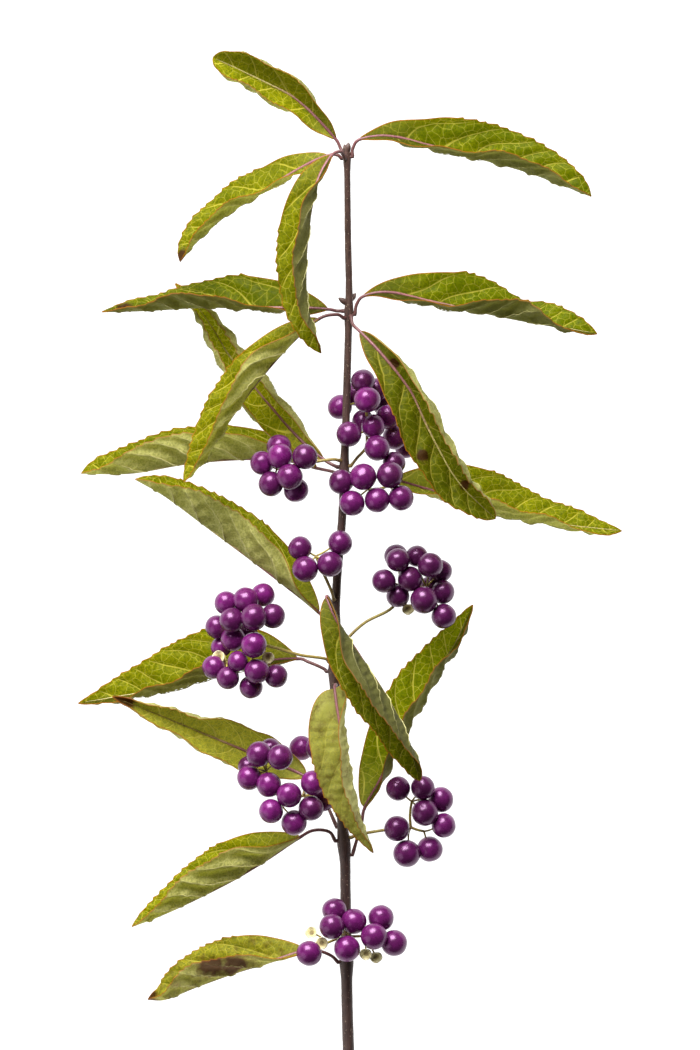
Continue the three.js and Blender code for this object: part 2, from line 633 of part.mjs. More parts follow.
function stemGeometry() {
  const points = stemCurve.getSpacedPoints(STEM_RINGS);
  const stem = taperedTube(points, points.map(stemRadius), STEM_SIDES);
  const buds = BUDS.map(({ y, towards, length }) => {
    const foot = stemPoint(y);
    const direction = new THREE.Vector3(...towards).normalize();
    const tip = foot.clone().addScaledVector(direction, stemRadius(foot) + length);
    const shoulder = foot.clone().lerp(tip, BUD_SHOULDER);
    return taperedTube([foot, shoulder, tip], BUD_RADII, STALK_SIDES);
  });
  return joined([stem, ...buds]);
}

const sprig = new THREE.Group();
sprig.name = "beautyberry_sprig";

// Each piece hangs on the place where it leaves the stem
function addPiece(name, geometry, material, foot) {
  geometry.translate(-foot.x, -foot.y, -foot.z);
  const mesh = new THREE.Mesh(geometry, material.clone());
  mesh.name = name;
  mesh.position.copy(foot);
  sprig.add(mesh);
}

addPiece("stem", stemGeometry(), bark, stemPoint(STEM_END_Y));
Object.entries(LEAVES).forEach(([name, leaf]) => {
  addPiece(name, leafGeometry(leaf), leafGreen, stemPoint(leaf.node));
});
Object.entries(BUNCHES).forEach(([name, bunch]) => {
  addPiece(name, bunchGeometry(bunch), berryPurple, stemPoint(bunch.node));
});

export default sprig;
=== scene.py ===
# Beautyberry sprig: the looks of a cut twig that lies on its cut end and two leaf tips, with toothed
# leaves folded along the midrib and bunches of violet berries in the leaf axils.
# Tables and shape code are in millimetres, meshes are written in metres.
import math

import bpy
import numpy as np
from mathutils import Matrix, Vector


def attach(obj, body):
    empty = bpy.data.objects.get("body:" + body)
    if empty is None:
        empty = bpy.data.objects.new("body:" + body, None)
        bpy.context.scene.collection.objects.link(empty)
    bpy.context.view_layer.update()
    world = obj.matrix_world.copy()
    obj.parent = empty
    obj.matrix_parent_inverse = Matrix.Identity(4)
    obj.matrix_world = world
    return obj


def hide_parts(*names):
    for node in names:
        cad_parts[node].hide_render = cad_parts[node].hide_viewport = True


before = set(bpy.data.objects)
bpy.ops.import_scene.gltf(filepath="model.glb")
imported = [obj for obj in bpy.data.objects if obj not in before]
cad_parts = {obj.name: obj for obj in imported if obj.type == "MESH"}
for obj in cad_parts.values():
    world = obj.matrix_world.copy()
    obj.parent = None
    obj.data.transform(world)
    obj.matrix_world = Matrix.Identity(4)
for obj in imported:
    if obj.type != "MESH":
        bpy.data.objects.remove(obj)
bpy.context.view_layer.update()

scene = bpy.context.scene
METRE = 0.001

# Sizes of the plant, in millimetres
BERRY_DIAMETER = 4.4
STEM_END_DIAMETER = 2.1
STEM_TOP_DIAMETER = 1.1
NODE_SWELL_LENGTH = 2.2
STEM_GAP = 0.32
BLADE_END_HALF_WIDTH = 0.4
TIP_HALF_WIDTH = 0.35
BLADE_HALF_THICKNESS = 0.13
TOOTH_HEIGHT = 0.4
LEAF_STALK_RADIUS = 0.28
RIB_TIP_RADIUS = 0.08
SIDE_VEIN_RADIUS = 0.13
BUNCH_STALK_RADIUS = 0.28
BRANCH_RADIUS = 0.23
PEDICEL_RADIUS = 0.18
BUD_RADIUS = 0.52
CUT_FACE_RADIUS = 0.97
CALYX_SIZE = 0.85
EMPTY_CALYX_SIZE = 1.05

# The stem is thicker by NODE_SWELL at its nodes, and stalks start at ROOT_DEPTH of its radius
NODE_SWELL = 0.32
ROOT_DEPTH = 0.4

# Berries of a bunch are set with BERRY_GAP between them, in millimetres and below 0 where they press
# together, and then drawn BERRY_SWELL times as large; a pedicel ends at PEDICEL_END of the berry's radius
BERRY_GAP = -0.06
BERRY_SWELL = 1.035
PEDICEL_END = 0.97
CALYX_SET_BACK = 0.1

# Twigs of a bunch: how much branches and pedicels taper and bow, the direction that a bow is square to, and
# how far a pedicel's end strays from its berry's line
BRANCH_TAPER = 1.1
PEDICEL_TAPER = 0.85
BRANCH_BOW = 0.1
PEDICEL_BOW = 0.12
TWIG_SAG_AXIS = (0.3, 0.5, 0.8)
PEDICEL_STRAY = 0.12

# Stalks flare by these factors where they leave the stem
ROOT_FLARE = 1.3
LEAF_STALK_FLARE = [1.25, 1.18, 1.1, 1.04]
BUNCH_STALK_FLARE = 1.25
FLARE_SHARE = 0.15

# Radii of a bud from its foot to its point, as shares of BUD_RADIUS
BUD_PROFILE = [1, 1, 1, 1.02, 1.05, 1, 0.8, 0.5, 0.15]

# An empty calyx turns to the viewer by this many millimetres of its pedicel's run
EMPTY_CALYX_TURN = 6

# Teeth: shares of the length where they start and end, how far each leans to the tip, how uneven their
# places and sizes are, and the half width in millimetres below which they shrink
FIRST_TOOTH = 0.36
LAST_TOOTH = 0.95
TOOTH_LEAN = 0.8
TOOTH_BACK_POWER = 1.25
TEETH_PER_SIDE = 12
TOOTH_UNEVENNESS = 0.12
TOOTH_PITCH = 0.09
SMALLEST_TOOTH, LARGEST_TOOTH = 0.65, 1.15
SMALL_TOOTH_REACH = 3

# Side veins: spacing in millimetres, how they crowd to the tip, forward slant and bow, how far those of
# the right half are shifted, and how much they sway
VEIN_SPACING = 8.0
VEIN_CROWDING = 0.35
VEIN_SLANT = 0.8
VEIN_BOW = 0.14
VEIN_STAGGER = 0.3
VEIN_SWAY = 0.1
VEIN_SWAY_PITCH = 0.55
FINE_SWAY = 0.06
FINE_SWAY_PITCH = 1.1

# A side vein is traced in steps, each of a share of what is left, and kept from VEIN_FROM to VEIN_TO of the
# blade's length and out to VEIN_END of its half width
VEIN_STEPS = 20
VEIN_STEP_SHARE = 0.7
VEIN_FROM, VEIN_TO = 0.02, 0.97
VEIN_END = 0.93
FEWEST_VEIN_RINGS = 5

# Net between the veins: mesh size in millimetres, meshes from vein to vein, and the lean of its cross lines
NET_MESH = 1.6
MESHES_PER_VEIN = 2.0
VEIN_LEAN = 1.3

# Midrib: how far it lies under the blade in radii, on its upper face where below 0, how it tapers from the
# stalk, the share of the length at which it ends, and how close to it the two halves are read
RIB_SUNK = -0.5
RIB_SINK_SHARE = 0.08
RIB_SHARE = 0.86
RIB_POWER = 0.8
RIB_END = 0.985
NEAR_RIB = 1e-4

# Blade relief in millimetres: height of the swelling between veins, how far it lies below the veins as a
# share of that, the run in which it rises from the midrib, height and length of the margin's waves, and
# height of the fine puckers
QUILT_HEIGHT = 1.0
QUILT_SINK = 0.75
QUILT_POWER = 0.8
QUILT_RISE = 1.2
WAVE_HEIGHT = 0.3
WAVE_LENGTH = 10.0
PUCKER_HEIGHT = 0.05
PUCKER_COUNT = 7
PUCKER_SPREAD = 6
SHORTEST_PUCKER, LONGEST_PUCKER = 1.3, 3.2
BASE_FADE, TIP_FADE = 0.15, 0.12

# Blade outline and fold: how its tip tapers, the share at which it rounds off, the share of the half width
# at which a margin starts to roll and how far its roll goes on, and how much of the blade's thickness is
# left off at the margin
TIP_POWER = 0.68
ROUND_TIP_FROM = 0.965
ROLL_FROM = 0.62
ROLL_LIMIT = 1.2
MARGIN_THINNING = 0.55

# Colour along the blade: the share of the width in which the two halves' painted shade blends, and how much
# painted sheen pales the base and up to which share of the length
PAINTED_SHADE_BLEND = 0.2
BASE_PAINTED_SHEEN = 0.4
PAINTED_SHEEN_BASE_SHARE = 0.25

# Mesh fineness; columns of a blade lie closer at its margins
BLADE_ROWS = 200
BLADE_COLUMNS = 37
EVEN_COLUMNS = 0.4
BEND_STEPS = 20
AXIS_STEPS = 721
STEM_RINGS = 420
LEAF_STALK_STEPS = 16
MIDRIB_STEPS = 401
RIB_RINGS = 70
SIDE_VEIN_RINGS = 40
BUNCH_STALK_RINGS = 30
TWIG_RINGS = 9

# Random draws
SEED = 7
BUNCH_SEED = 100

# How the photograph's 700 x 1050 pixels map to the part: a berry is BERRY_PIXELS wide
IMAGE_WIDTH, IMAGE_HEIGHT = 700, 1050
BERRY_PIXELS = 24.4
PIXEL = BERRY_DIAMETER / BERRY_PIXELS
MIDDLE_X, MIDDLE_Y = 349.9, 556.6

# The stem rises from its cut end on the floor towards the top of the sprig
STEM_END_Y, STEM_TOP_Y = 1062, 153
STEM_END_HEIGHT = 0.94
STEM_SLOPE = 0.129
STEM_NODES = [157, 313, 470, 625, 672, 845, 963]
STEM_LINE = [
    [347, 153], [348, 240], [349, 300], [346.5, 400], [344.5, 460], [342, 520], [337, 580],
    [334, 660], [338, 750], [342, 820], [345, 860], [345.5, 890], [347, 1000], [348.7, 1062],
]
# Bud stubs: height on the stem, direction and length
BUDS = [
    (305, (-0.8, 0.5, 0.2), 1.5),
    (302, (0.6, 0.7, -0.5), 1.5),
    (155, (0.15, 1, 0.15), 1.3),
    (155, (-0.3, 1, -0.1), 1.0),
]

# Each leaf: the stem height it leaves from, its stalk and midrib as [x, y, depth from the stem's axis
# line], the half width of its flattened blade, the share of its length where it is widest, how fast it
# widens from its base, the angles in degrees at which its left and right half rise towards the viewer
# at four places from base to tip, and the further turn of each half from midrib to margin
LEAVES = {
    "leaf_top_rear_left": dict(
        node=155, stalk=[[340, 148, -1.2]],
        midrib=[[335, 139, -1.4], [316, 118, -2], [292, 97, -3.2], [255, 78, -4.6], [213, 58, -5.2]],
        half_width=5.4, widest=0.56, base_power=0.85,
        left=[45, 48, 60, 50], right=[58, 54, 46, 40], curl=[60, 55],
    ),
    "leaf_top_left": dict(
        node=160, stalk=[[337, 156, 0.4]],
        midrib=[[327, 157, 0.2], [300, 170, -0.8], [262, 193, -2], [225, 217, -3], [197, 242, -3.4],
            [180, 262, -3]],
        half_width=5.3, widest=0.5, base_power=0.85,
        left=[64, 95, 112, 100], right=[-25, -36, -36, -20], curl=[20, 10],
    ),
    "leaf_top_front": dict(
        node=159, stalk=[[341, 153, 2.2]],
        midrib=[[331, 158, 4], [318, 184, 6.6], [310, 222, 8.6], [306.5, 265, 9.8], [308, 308, 10.2],
            [321, 354, 9.6]],
        half_width=5.6, widest=0.46, base_power=0.85,
        left=[75, 112, 116, 90], right=[10, -14, -18, 10], curl=[25, 15],
    ),
    "leaf_top_right": dict(
        node=157, stalk=[[353, 149, 0.2]],
        midrib=[[361, 140, 0.2], [390, 137.5, -0.2], [430, 147, -0.8], [475, 158.5, -1.4],
            [530, 174, -1.6],
            [591, 197, -1.2]],
        half_width=6.6, widest=0.5, base_power=1.1,
        left=[32, 14, -6, 5], right=[62, 92, 112, 100], curl=[15, 25],
    ),
    "leaf_second_left": dict(
        node=312, stalk=[[336, 311, -0.7]],
        midrib=[[327, 309.5, -0.3], [300, 308.5, -1], [255, 308.5, -1.8], [205, 307.5, -2.4],
            [150, 310.5, -2.6],
            [102, 312, -2.2]],
        half_width=6.1, widest=0.42, base_power=0.85,
        left=[64, 98, 121, 100], right=[15, -12, -44, -48], curl=[25, 10],
    ),
    "leaf_second_right": dict(
        node=314, stalk=[[357, 304, 0.2]],
        midrib=[[365, 296, 0.2], [390, 293, -0.2], [430, 302, -0.8], [480, 312.5, -1.4],
            [530, 322.5, -1.4],
            [597, 334, -0.6]],
        half_width=6.5, widest=0.45, base_power=1.15,
        left=[25, 8, -45, 10], right=[64, 92, 128, 72], curl=[10, 30],
    ),
    "leaf_second_front_left": dict(
        node=318, stalk=[[336, 315, 1.8]],
        midrib=[[318, 320, 2.6], [290, 346, 4.6], [258, 383, 6], [228, 424, 6.6], [204, 461, 6.4],
            [184, 482, 5.8]],
        half_width=6.1, widest=0.47, base_power=0.85,
        left=[95, 136, 112, 95], right=[0, -16, -22, -20], curl=[30, 10],
    ),
    "leaf_second_front_right": dict(
        node=317, stalk=[[353, 325, 2.2]],
        midrib=[[361, 333, 3.6], [382, 355, 6], [410, 391, 8], [430, 433, 9], [458, 482, 9.2],
            [495, 519, 8.4]],
        half_width=6.0, widest=0.5, base_power=0.85,
        left=[48, 68, 62, 50], right=[32, 36, 34, 35], curl=[75, 25],
    ),
    "leaf_third_rising": dict(
        node=467, stalk=[[331, 464, -0.2]],
        midrib=[[322, 458, -1.2], [298, 437, -4], [263, 397, -6.6], [231, 358, -8.4], [205, 317, -9.8],
            [175, 283, -10.4]],
        half_width=6.0, widest=0.42, base_power=0.85,
        left=[28, 32, 60, 62], right=[55, 64, 58, 52], curl=[40, 60],
    ),
    "leaf_third_left": dict(
        node=473, stalk=[[330, 471, -2.2]],
        midrib=[[316, 468, -4.2], [285, 461, -7.8], [240, 459.5, -9.8], [185, 464, -10.9],
            [130, 473, -12.2],
            [80, 473, -14.34]],
        half_width=6.7, widest=0.5, base_power=0.85,
        left=[120, 138, 148, 100], right=[0, -12, -8, 0], curl=[20, 10],
    ),
    "leaf_third_right": dict(
        node=473, stalk=[[358, 475, -1.6], [376, 477, -2.6]],
        midrib=[[394, 480, -3.2], [432, 491, -4.6], [472, 505, -6.2], [515, 518, -8.2], [562, 525, -10],
            [623, 531, -12.86]],
        half_width=7.0, widest=0.38, base_power=0.85,
        left=[20, 2, -30, -20], right=[66, 108, 104, 45], curl=[10, 30],
    ),
    "leaf_fourth_rising": dict(
        node=634, stalk=[[323.5, 620, 0.2]],
        midrib=[[318, 612, 0], [290, 590, -0.8], [250, 559.5, -2], [205, 526, -3], [166, 497, -3.6],
            [135, 479, -3.4]],
        half_width=6.8, widest=0.46, base_power=0.85,
        left=[95, 140, 146, 118], right=[10, 0, -14, -20], curl=[30, 10],
    ),
    "leaf_fourth_front": dict(
        node=622, stalk=[[330, 601, 3.4]],
        midrib=[[327, 598, 5.8], [339, 623, 8], [360, 655, 9.2], [386, 695, 9.4], [405, 732, 9],
            [420, 781, 8]],
        half_width=6.6, widest=0.46, base_power=0.85,
        left=[80, 120, 114, 70], right=[24, 22, 30, 40], curl=[40, 20],
    ),
    "leaf_fifth_left": dict(
        node=671, stalk=[[323, 668.5, -0.4], [308, 662, -0.8]],
        midrib=[[297, 659, -1.8], [262, 663, -4.6], [213, 676, -6.8], [165, 689, -7.6], [120, 697, -7.8],
            [77, 704, -7.6]],
        half_width=8.4, widest=0.36, base_power=0.85,
        left=[82, 106, 98, 60], right=[20, 6, 6, 10], curl=[40, 10],
    ),
    "leaf_fifth_front": dict(
        node=693, stalk=[[336, 685, 2.8]],
        midrib=[[335, 689, 5.2], [339, 716, 7.6], [345.5, 750, 8.8], [353, 788, 9], [361, 820, 8.4],
            [373, 853, 7]],
        half_width=6.3, widest=0.36, base_power=0.5,
        left=[60, 102, 110, 95], right=[10, 8, 12, 20], curl=[60, 20],
    ),
    "leaf_sixth_rising": dict(
        node=828, stalk=[[327, 806, -2.4], [317, 787, -2.6]],
        midrib=[[305, 777, -2.4], [262, 759, -5.8], [215, 739.5, -6.4], [165, 718.5, -5.2],
            [112, 697, -2.6]],
        half_width=5.8, widest=0.38, base_power=0.6,
        left=[50, 46, 55, 50], right=[24, 30, 55, 50], curl=[45, 60],
    ),
    "leaf_sixth_right": dict(
        node=856, stalk=[[357, 840, -0.2], [362, 822, -0.6]],
        midrib=[[365, 808, -0.8], [381, 780, -1.6], [404, 734, -3], [431, 685, -4.2],
            [455, 645, -4.8], [473, 605, -4.8]],
        half_width=6.4, widest=0.42, base_power=0.7,
        left=[10, 10, 14, 25], right=[84, 104, 100, 70], curl=[10, 50],
    ),
    "leaf_sixth_left": dict(
        node=842, stalk=[[329, 832.5, 0.2], [314, 831, 0.2]],
        midrib=[[300, 838, 0], [270, 859, -0.4], [235, 880.5, -0.8], [195, 901, -1], [160, 917, -1],
            [131, 928, -0.6]],
        half_width=7.1, widest=0.42, base_power=0.85,
        left=[105, 140, 140, 105], right=[0, 0, -20, -30], curl=[30, 10],
    ),
    "leaf_seventh_left": dict(
        node=964, stalk=[[331, 957, 0.8], [318, 952, 1.2]],
        midrib=[[305, 952, 1.4], [275, 962, 1.4], [235, 974.5, 1.2], [195, 989, 1], [165, 1001, 0.8],
            [147, 1001, 0.8]],
        half_width=6.6, widest=0.48, base_power=0.85,
        left=[80, 116, 134, 110], right=[0, -4, -8, 0], curl=[30, 10],
    ),
}

# Looks of each leaf: how yellow, how brown and how dark it has turned (tone, whose dark part on
# leaf_fourth_front is painted shade), the extra roll in degrees of its left and right margin, how much
# painted shade darkens each half where it faces away from the light (shade), how pale it is all over
# (on leaf_fifth_front as painted sheen), how much of the usual swelling it has between its veins (quilt),
# and dried blotches as (share of length, place across from -1 to 1, radius in millimetres)
LEAF_LOOKS = {
    "leaf_top_rear_left": dict(tone=(0.3, 0.1, 0.0), roll=(35, 30), shade=(0.0, 0.35)),
    "leaf_top_left": dict(tone=(0.25, 0.15, 0.1), roll=(0, 0), blotches=[(0.98, 0, 1.6)]),
    "leaf_top_front": dict(tone=(0.25, 0.1, 0.1), roll=(0, 0), shade=(0.6, 0)),
    "leaf_top_right": dict(tone=(0.1, 0.05, 0.1), roll=(0, 0), shade=(0, 0.4)),
    "leaf_second_left": dict(
        tone=(0.1, 0.15, 0.2), roll=(0, 0), shade=(0.5, 0), blotches=[(0.9, 0.3, 1.2)],
    ),
    "leaf_second_right": dict(tone=(0.05, 0.05, 0.1), roll=(0, 0), shade=(0, 0.6)),
    "leaf_second_front_left": dict(tone=(0.35, 0.1, 0.0), roll=(0, 0), quilt=1.2),
    "leaf_second_front_right": dict(
        tone=(0.15, 0.2, 0.3), roll=(45, 0),
        blotches=[(0.2, -0.15, 0.9), (0.6, 0.6, 0.9), (0.8, -0.1, 0.8)],
    ),
    "leaf_third_rising": dict(tone=(0.35, 0.1, 0.0), roll=(70, 70)),
    "leaf_third_left": dict(tone=(0.25, 0.1, 0.0), roll=(0, 0), quilt=1.2),
    "leaf_third_right": dict(tone=(0.25, 0.0, 0.0), roll=(0, 0)),
    "leaf_fourth_rising": dict(tone=(0.25, 0.05, 0.0), roll=(0, 0), quilt=1.3),
    # The dark part of this leaf's tone is painted shade, where it lies in shade over the leaf below
    "leaf_fourth_front": dict(tone=(0.15, 0.15, 0.25), roll=(0, 0), shade=(0.6, 0), quilt=0.7),
    "leaf_fifth_left": dict(tone=(0.3, 0.0, 0.0), roll=(0, 0), shade=(0.6, 0)),
    # This leaf's pale value is painted sheen, for a face turned to the light
    "leaf_fifth_front": dict(tone=(0.45, 0.3, 0.0), roll=(0, 0), quilt=0.4, pale=0.7),
    "leaf_sixth_rising": dict(
        tone=(0.5, 0.2, 0.0), roll=(35, 35), pale=0.3, quilt=0.6, blotches=[(0.95, 0, 2.0)],
    ),
    "leaf_sixth_right": dict(tone=(0.15, 0.0, 0.0), roll=(0, 0), shade=(0, 0.6)),
    "leaf_sixth_left": dict(tone=(0.3, 0.1, 0.0), roll=(0, 0), quilt=1.4),
    "leaf_seventh_left": dict(
        tone=(0.45, 0.3, 0.0), roll=(0, 0), pale=0.2,
        blotches=[(0.42, -0.55, 2.0), (0.55, -0.75, 1.8), (1.0, 0, 1.4)],
    ),
}

# Each bunch: the stem height its stalk leaves from, the stalk and the places where it forks, how far its
# front stands before the stem and how round it is, and its berries as [x, y, size] from the nearest the
# viewer to the farthest, size 1 being BERRY_DIAMETER. A fourth number is a berry's greatest depth.
BUNCHES = {
    "bunch_third_right_upper": dict(
        node=466, stalk=[[357, 458, 0.6], [366, 447, 0.4]],
        forks=[[367, 430, -0.2], [365, 400, -0.8], [389, 425, -1.4]], front=3.6, roundness=26,
        berries=[
            [349, 434, 1.0], [377, 448, 1.02], [367, 400, 1.04], [373, 426, 0.95], [363, 381, 0.95],
            [388, 417, 1], [395, 437, 1], [376, 390, 0.95], [340, 407, 0.98, -3.2], [384, 404, 0.95],
            [355, 394, 0.92, -2.6], [406, 447, 0.9], [363, 421, 0.9],
        ],
    ),
    "bunch_third_right_lower": dict(
        node=476, stalk=[[358, 483, 0.8]],
        forks=[[368, 489, 1.4], [389, 486, 1]], front=5.8, roundness=34,
        berries=[
            [363, 477, 1.06], [352, 503, 1.02], [390, 475, 1.06], [377, 500, 1], [401, 498, 1],
            [341, 482, 1], [394, 463, 0.92],
        ],
    ),
    "bunch_third_left": dict(
        node=461, stalk=[[332, 459.5, 1.8], [314, 462, 2.2]],
        forks=[[292, 466, 2], [277, 469, 1.6]], front=6.8, roundness=26,
        berries=[
            [290, 477, 1.04], [280, 456, 1], [305, 457, 1], [271, 484, 1], [262, 463, 0.96],
            [279, 447, 1.02], [296, 490, 1],
        ],
    ),
    "bunch_fourth_front": dict(
        node=600, stalk=[[331, 590, 2.4], [322, 570, 2.4]],
        forks=[[316, 556, 2.6]], front=5, roundness=60,
        berries=[[305, 569, 1.02], [330, 564, 1.02], [300, 548, 0.96], [340, 543, 0.98]],
    ),
    "bunch_fourth_right": dict(
        node=648, stalk=[[349, 637, -0.6], [366, 622, -1.2], [392, 608, -1.4]],
        forks=[[404, 588, -1.6], [427, 588, -1.6]], front=2.4, roundness=30,
        berries=[
            [424, 600, 1.08], [444, 616, 0.98], [398, 560, 0.96], [430, 565, 1], [410, 579, 1],
            [384, 581, 0.95],
            [398, 596, 0.93], [443, 592, 0.95], [417, 556, 0.86], [396, 556, 0.94], [441, 571, 0.9],
            [430, 587, 0.86],
        ],
    ),
    "bunch_fifth_left": dict(
        node=662, stalk=[[324, 658.5, 1.6], [300, 655, 3], [280, 649, 3.8]],
        forks=[[264, 645, 4], [250, 611, 4], [229, 632, 3.6], [246, 669, 4], [226, 662, 3.4]],
      front=8.4, roundness=44,
        berries=[
            [254, 617, 1.06], [254, 645, 1.03], [232, 620, 1], [257, 671, 1], [233, 639, 1],
            [246, 600, 1.02], [263, 595, 0.95],
            [273, 616, 0.98], [238, 661, 0.8], [226, 603, 0.95], [217, 627, 0.95], [276, 676, 0.95],
            [228, 678, 0.92],
            [214, 667, 0.95], [251, 687, 0.95], [221, 647, 0.84], [247, 633, 0.84],
        ],
    ),
    "bunch_sixth_left": dict(
        node=817, stalk=[[333, 808, 1.8], [318, 797, 2.8]],
        forks=[[303, 796, 3.4], [280, 799, 3.6], [266, 771, 3.6], [321, 768, -2.2]],
      front=8, roundness=34,
        berries=[
            [280, 757, 1.02], [289, 795, 1.02], [259, 754, 1.02], [311, 808, 1], [294, 823, 1.02],
            [269, 785, 1],
            [313, 783, 1], [249, 778, 0.98], [271, 811, 0.98], [323, 801, 0.9], [248, 767, 0.84],
            [270, 749, 0.84],
            [317, 748, 0.95, -2.4], [301, 749, 1, -5.3],
        ],
    ),
    "bunch_sixth_right": dict(
        node=838, stalk=[[360, 835, 0.6], [386, 830.5, 0.8]],
        forks=[[411, 828, 0.6], [424, 832, 0.6], [412, 802, 0.6]], front=3, roundness=40,
        berries=[
            [425, 813, 1.06], [423, 788, 0.95], [441, 800, 1.02], [397, 829, 1.02], [407, 854, 1.1],
            [398, 789, 0.98],
            [444, 826, 0.98], [430, 850, 1.02],
        ],
    ),
    "bunch_seventh_front": dict(
        node=956, stalk=[[350, 950, 2.2]],
        forks=[[346, 937, 2.6], [371, 936, 2.4], [327, 944, 2.8]], front=6.4, roundness=32,
        berries=[
            [347, 949, 1.06], [332, 927, 1.02], [374, 937, 1.06], [354, 922, 1.02], [394, 944, 1.06],
            [309, 954, 1.02],
            [381, 919, 1.04], [334, 911, 0.98],
        ],
    ),
}

# Empty calyces that have dropped their berry, as [x, y, depth]
EMPTY_CALYCES = {
    "bunch_fourth_right": [[408, 608, -0.8]],
    "bunch_fifth_left": [[268, 657, 4.8], [219, 657, 4.0]],
    "bunch_seventh_front": [[322, 944, 4.4], [366, 954, 5.6], [312, 934, 3.6], [376, 957, 5.0]],
}

# Bunches whose berries are all deep in colour, with their least ripeness from 0 to 1; this deep colour
# is painted shade, for a bunch that lies in shade
LEAST_RIPE_AS_PAINTED_SHADE = {"bunch_fourth_right": 0.9}
# Stage: half size of the floor and how far it lies under the sprig's lowest point, in metres, glow of floor
# and room, softbox powers in watts and the place they face, and a long lens whose distance keeps the view
# straight down, with the frame measured at the sprig's middle height
FLOOR = 3.0
FLOOR_DROP = 0.0001
LIGHT_AIM = (0, 0, 0.01)
FLOOR_GLOW = 1.25
ROOM_GLOW = 0.05
KEY_POWER = 48.0
FILL_POWER = 3.0
SENSOR = 36.0
CAMERA_DISTANCE = 3.0
MIDDLE_DEPTH = 14.0


# Places and curves

def stem_height(y):
    """Height of the stem's axis line above the floor."""
    return STEM_END_HEIGHT + (STEM_END_Y - y) * PIXEL * STEM_SLOPE


def spot(x, y, depth):
    """A place of the photograph, with a depth from the stem's axis line, in the part's frame."""
    return np.array([(x - MIDDLE_X) * PIXEL, (MIDDLE_Y - y) * PIXEL, stem_height(y) + depth])


def curve_through(points, shares):
    """Points of a smooth curve through the given points, at shares of its run."""
    points = np.asarray(points, float)
    ends = 2 * points[0] - points[1], 2 * points[-1] - points[-2]
    padded = np.vstack([ends[0], points, ends[1]])
    place = np.asarray(shares, float) * (len(points) - 1)
    low = np.minimum(place.astype(int), len(points) - 2)
    w = (place - low)[:, None]
    before, start, end, after = (padded[low + k] for k in range(4))
    leaving = (end - before) / 2
    arriving = (after - start) / 2
    bow = 3 * (end - start) - 2 * leaving - arriving
    twist = 2 * (start - end) + leaving + arriving
    return start + leaving * w + bow * w**2 + twist * w**3


def unit(vectors):
    return vectors / np.linalg.norm(vectors, axis=-1, keepdims=True)


stem_axis = curve_through([spot(x, y, 0) for x, y in STEM_LINE], np.linspace(0, 1, AXIS_STEPS))


def stem_radius(levels):
    """Radius of the stem at y levels of the part, with the swellings at its nodes."""
    end, top = spot(0, STEM_END_Y, 0)[1], spot(0, STEM_TOP_Y, 0)[1]
    share = np.clip((levels - end) / (top - end), 0, 1)
    plain = (STEM_END_DIAMETER + (STEM_TOP_DIAMETER - STEM_END_DIAMETER) * share) / 2
    away = [(levels - spot(0, y, 0)[1]) / NODE_SWELL_LENGTH for y in STEM_NODES]
    swell = sum(np.exp(-a * a) for a in away)
    return plain * (1 + NODE_SWELL * np.minimum(swell, 1))


def stem_exit(y, towards):
    """Where a stalk that heads for a place starts inside the stem, and where it leaves its surface."""
    axis = stem_axis[np.abs(stem_axis[:, 1] - spot(0, y, 0)[1]).argmin()]
    out = towards - axis
    side = unit(out * np.array([1, 0, 1]))
    radius = stem_radius(axis[1])
    return axis + side * radius * ROOT_DEPTH, axis + side * (radius + STEM_GAP)


# Leaf shapes

def between(values, shares):
    """A value given at evenly spaced places from base to tip, read between them."""
    values = np.asarray(values, float)
    place = shares * (len(values) - 1)
    low = np.clip(place.astype(int), 0, len(values) - 2)
    w = place - low
    return values[low] + (values[low + 1] - values[low]) * w * w * (3 - 2 * w)


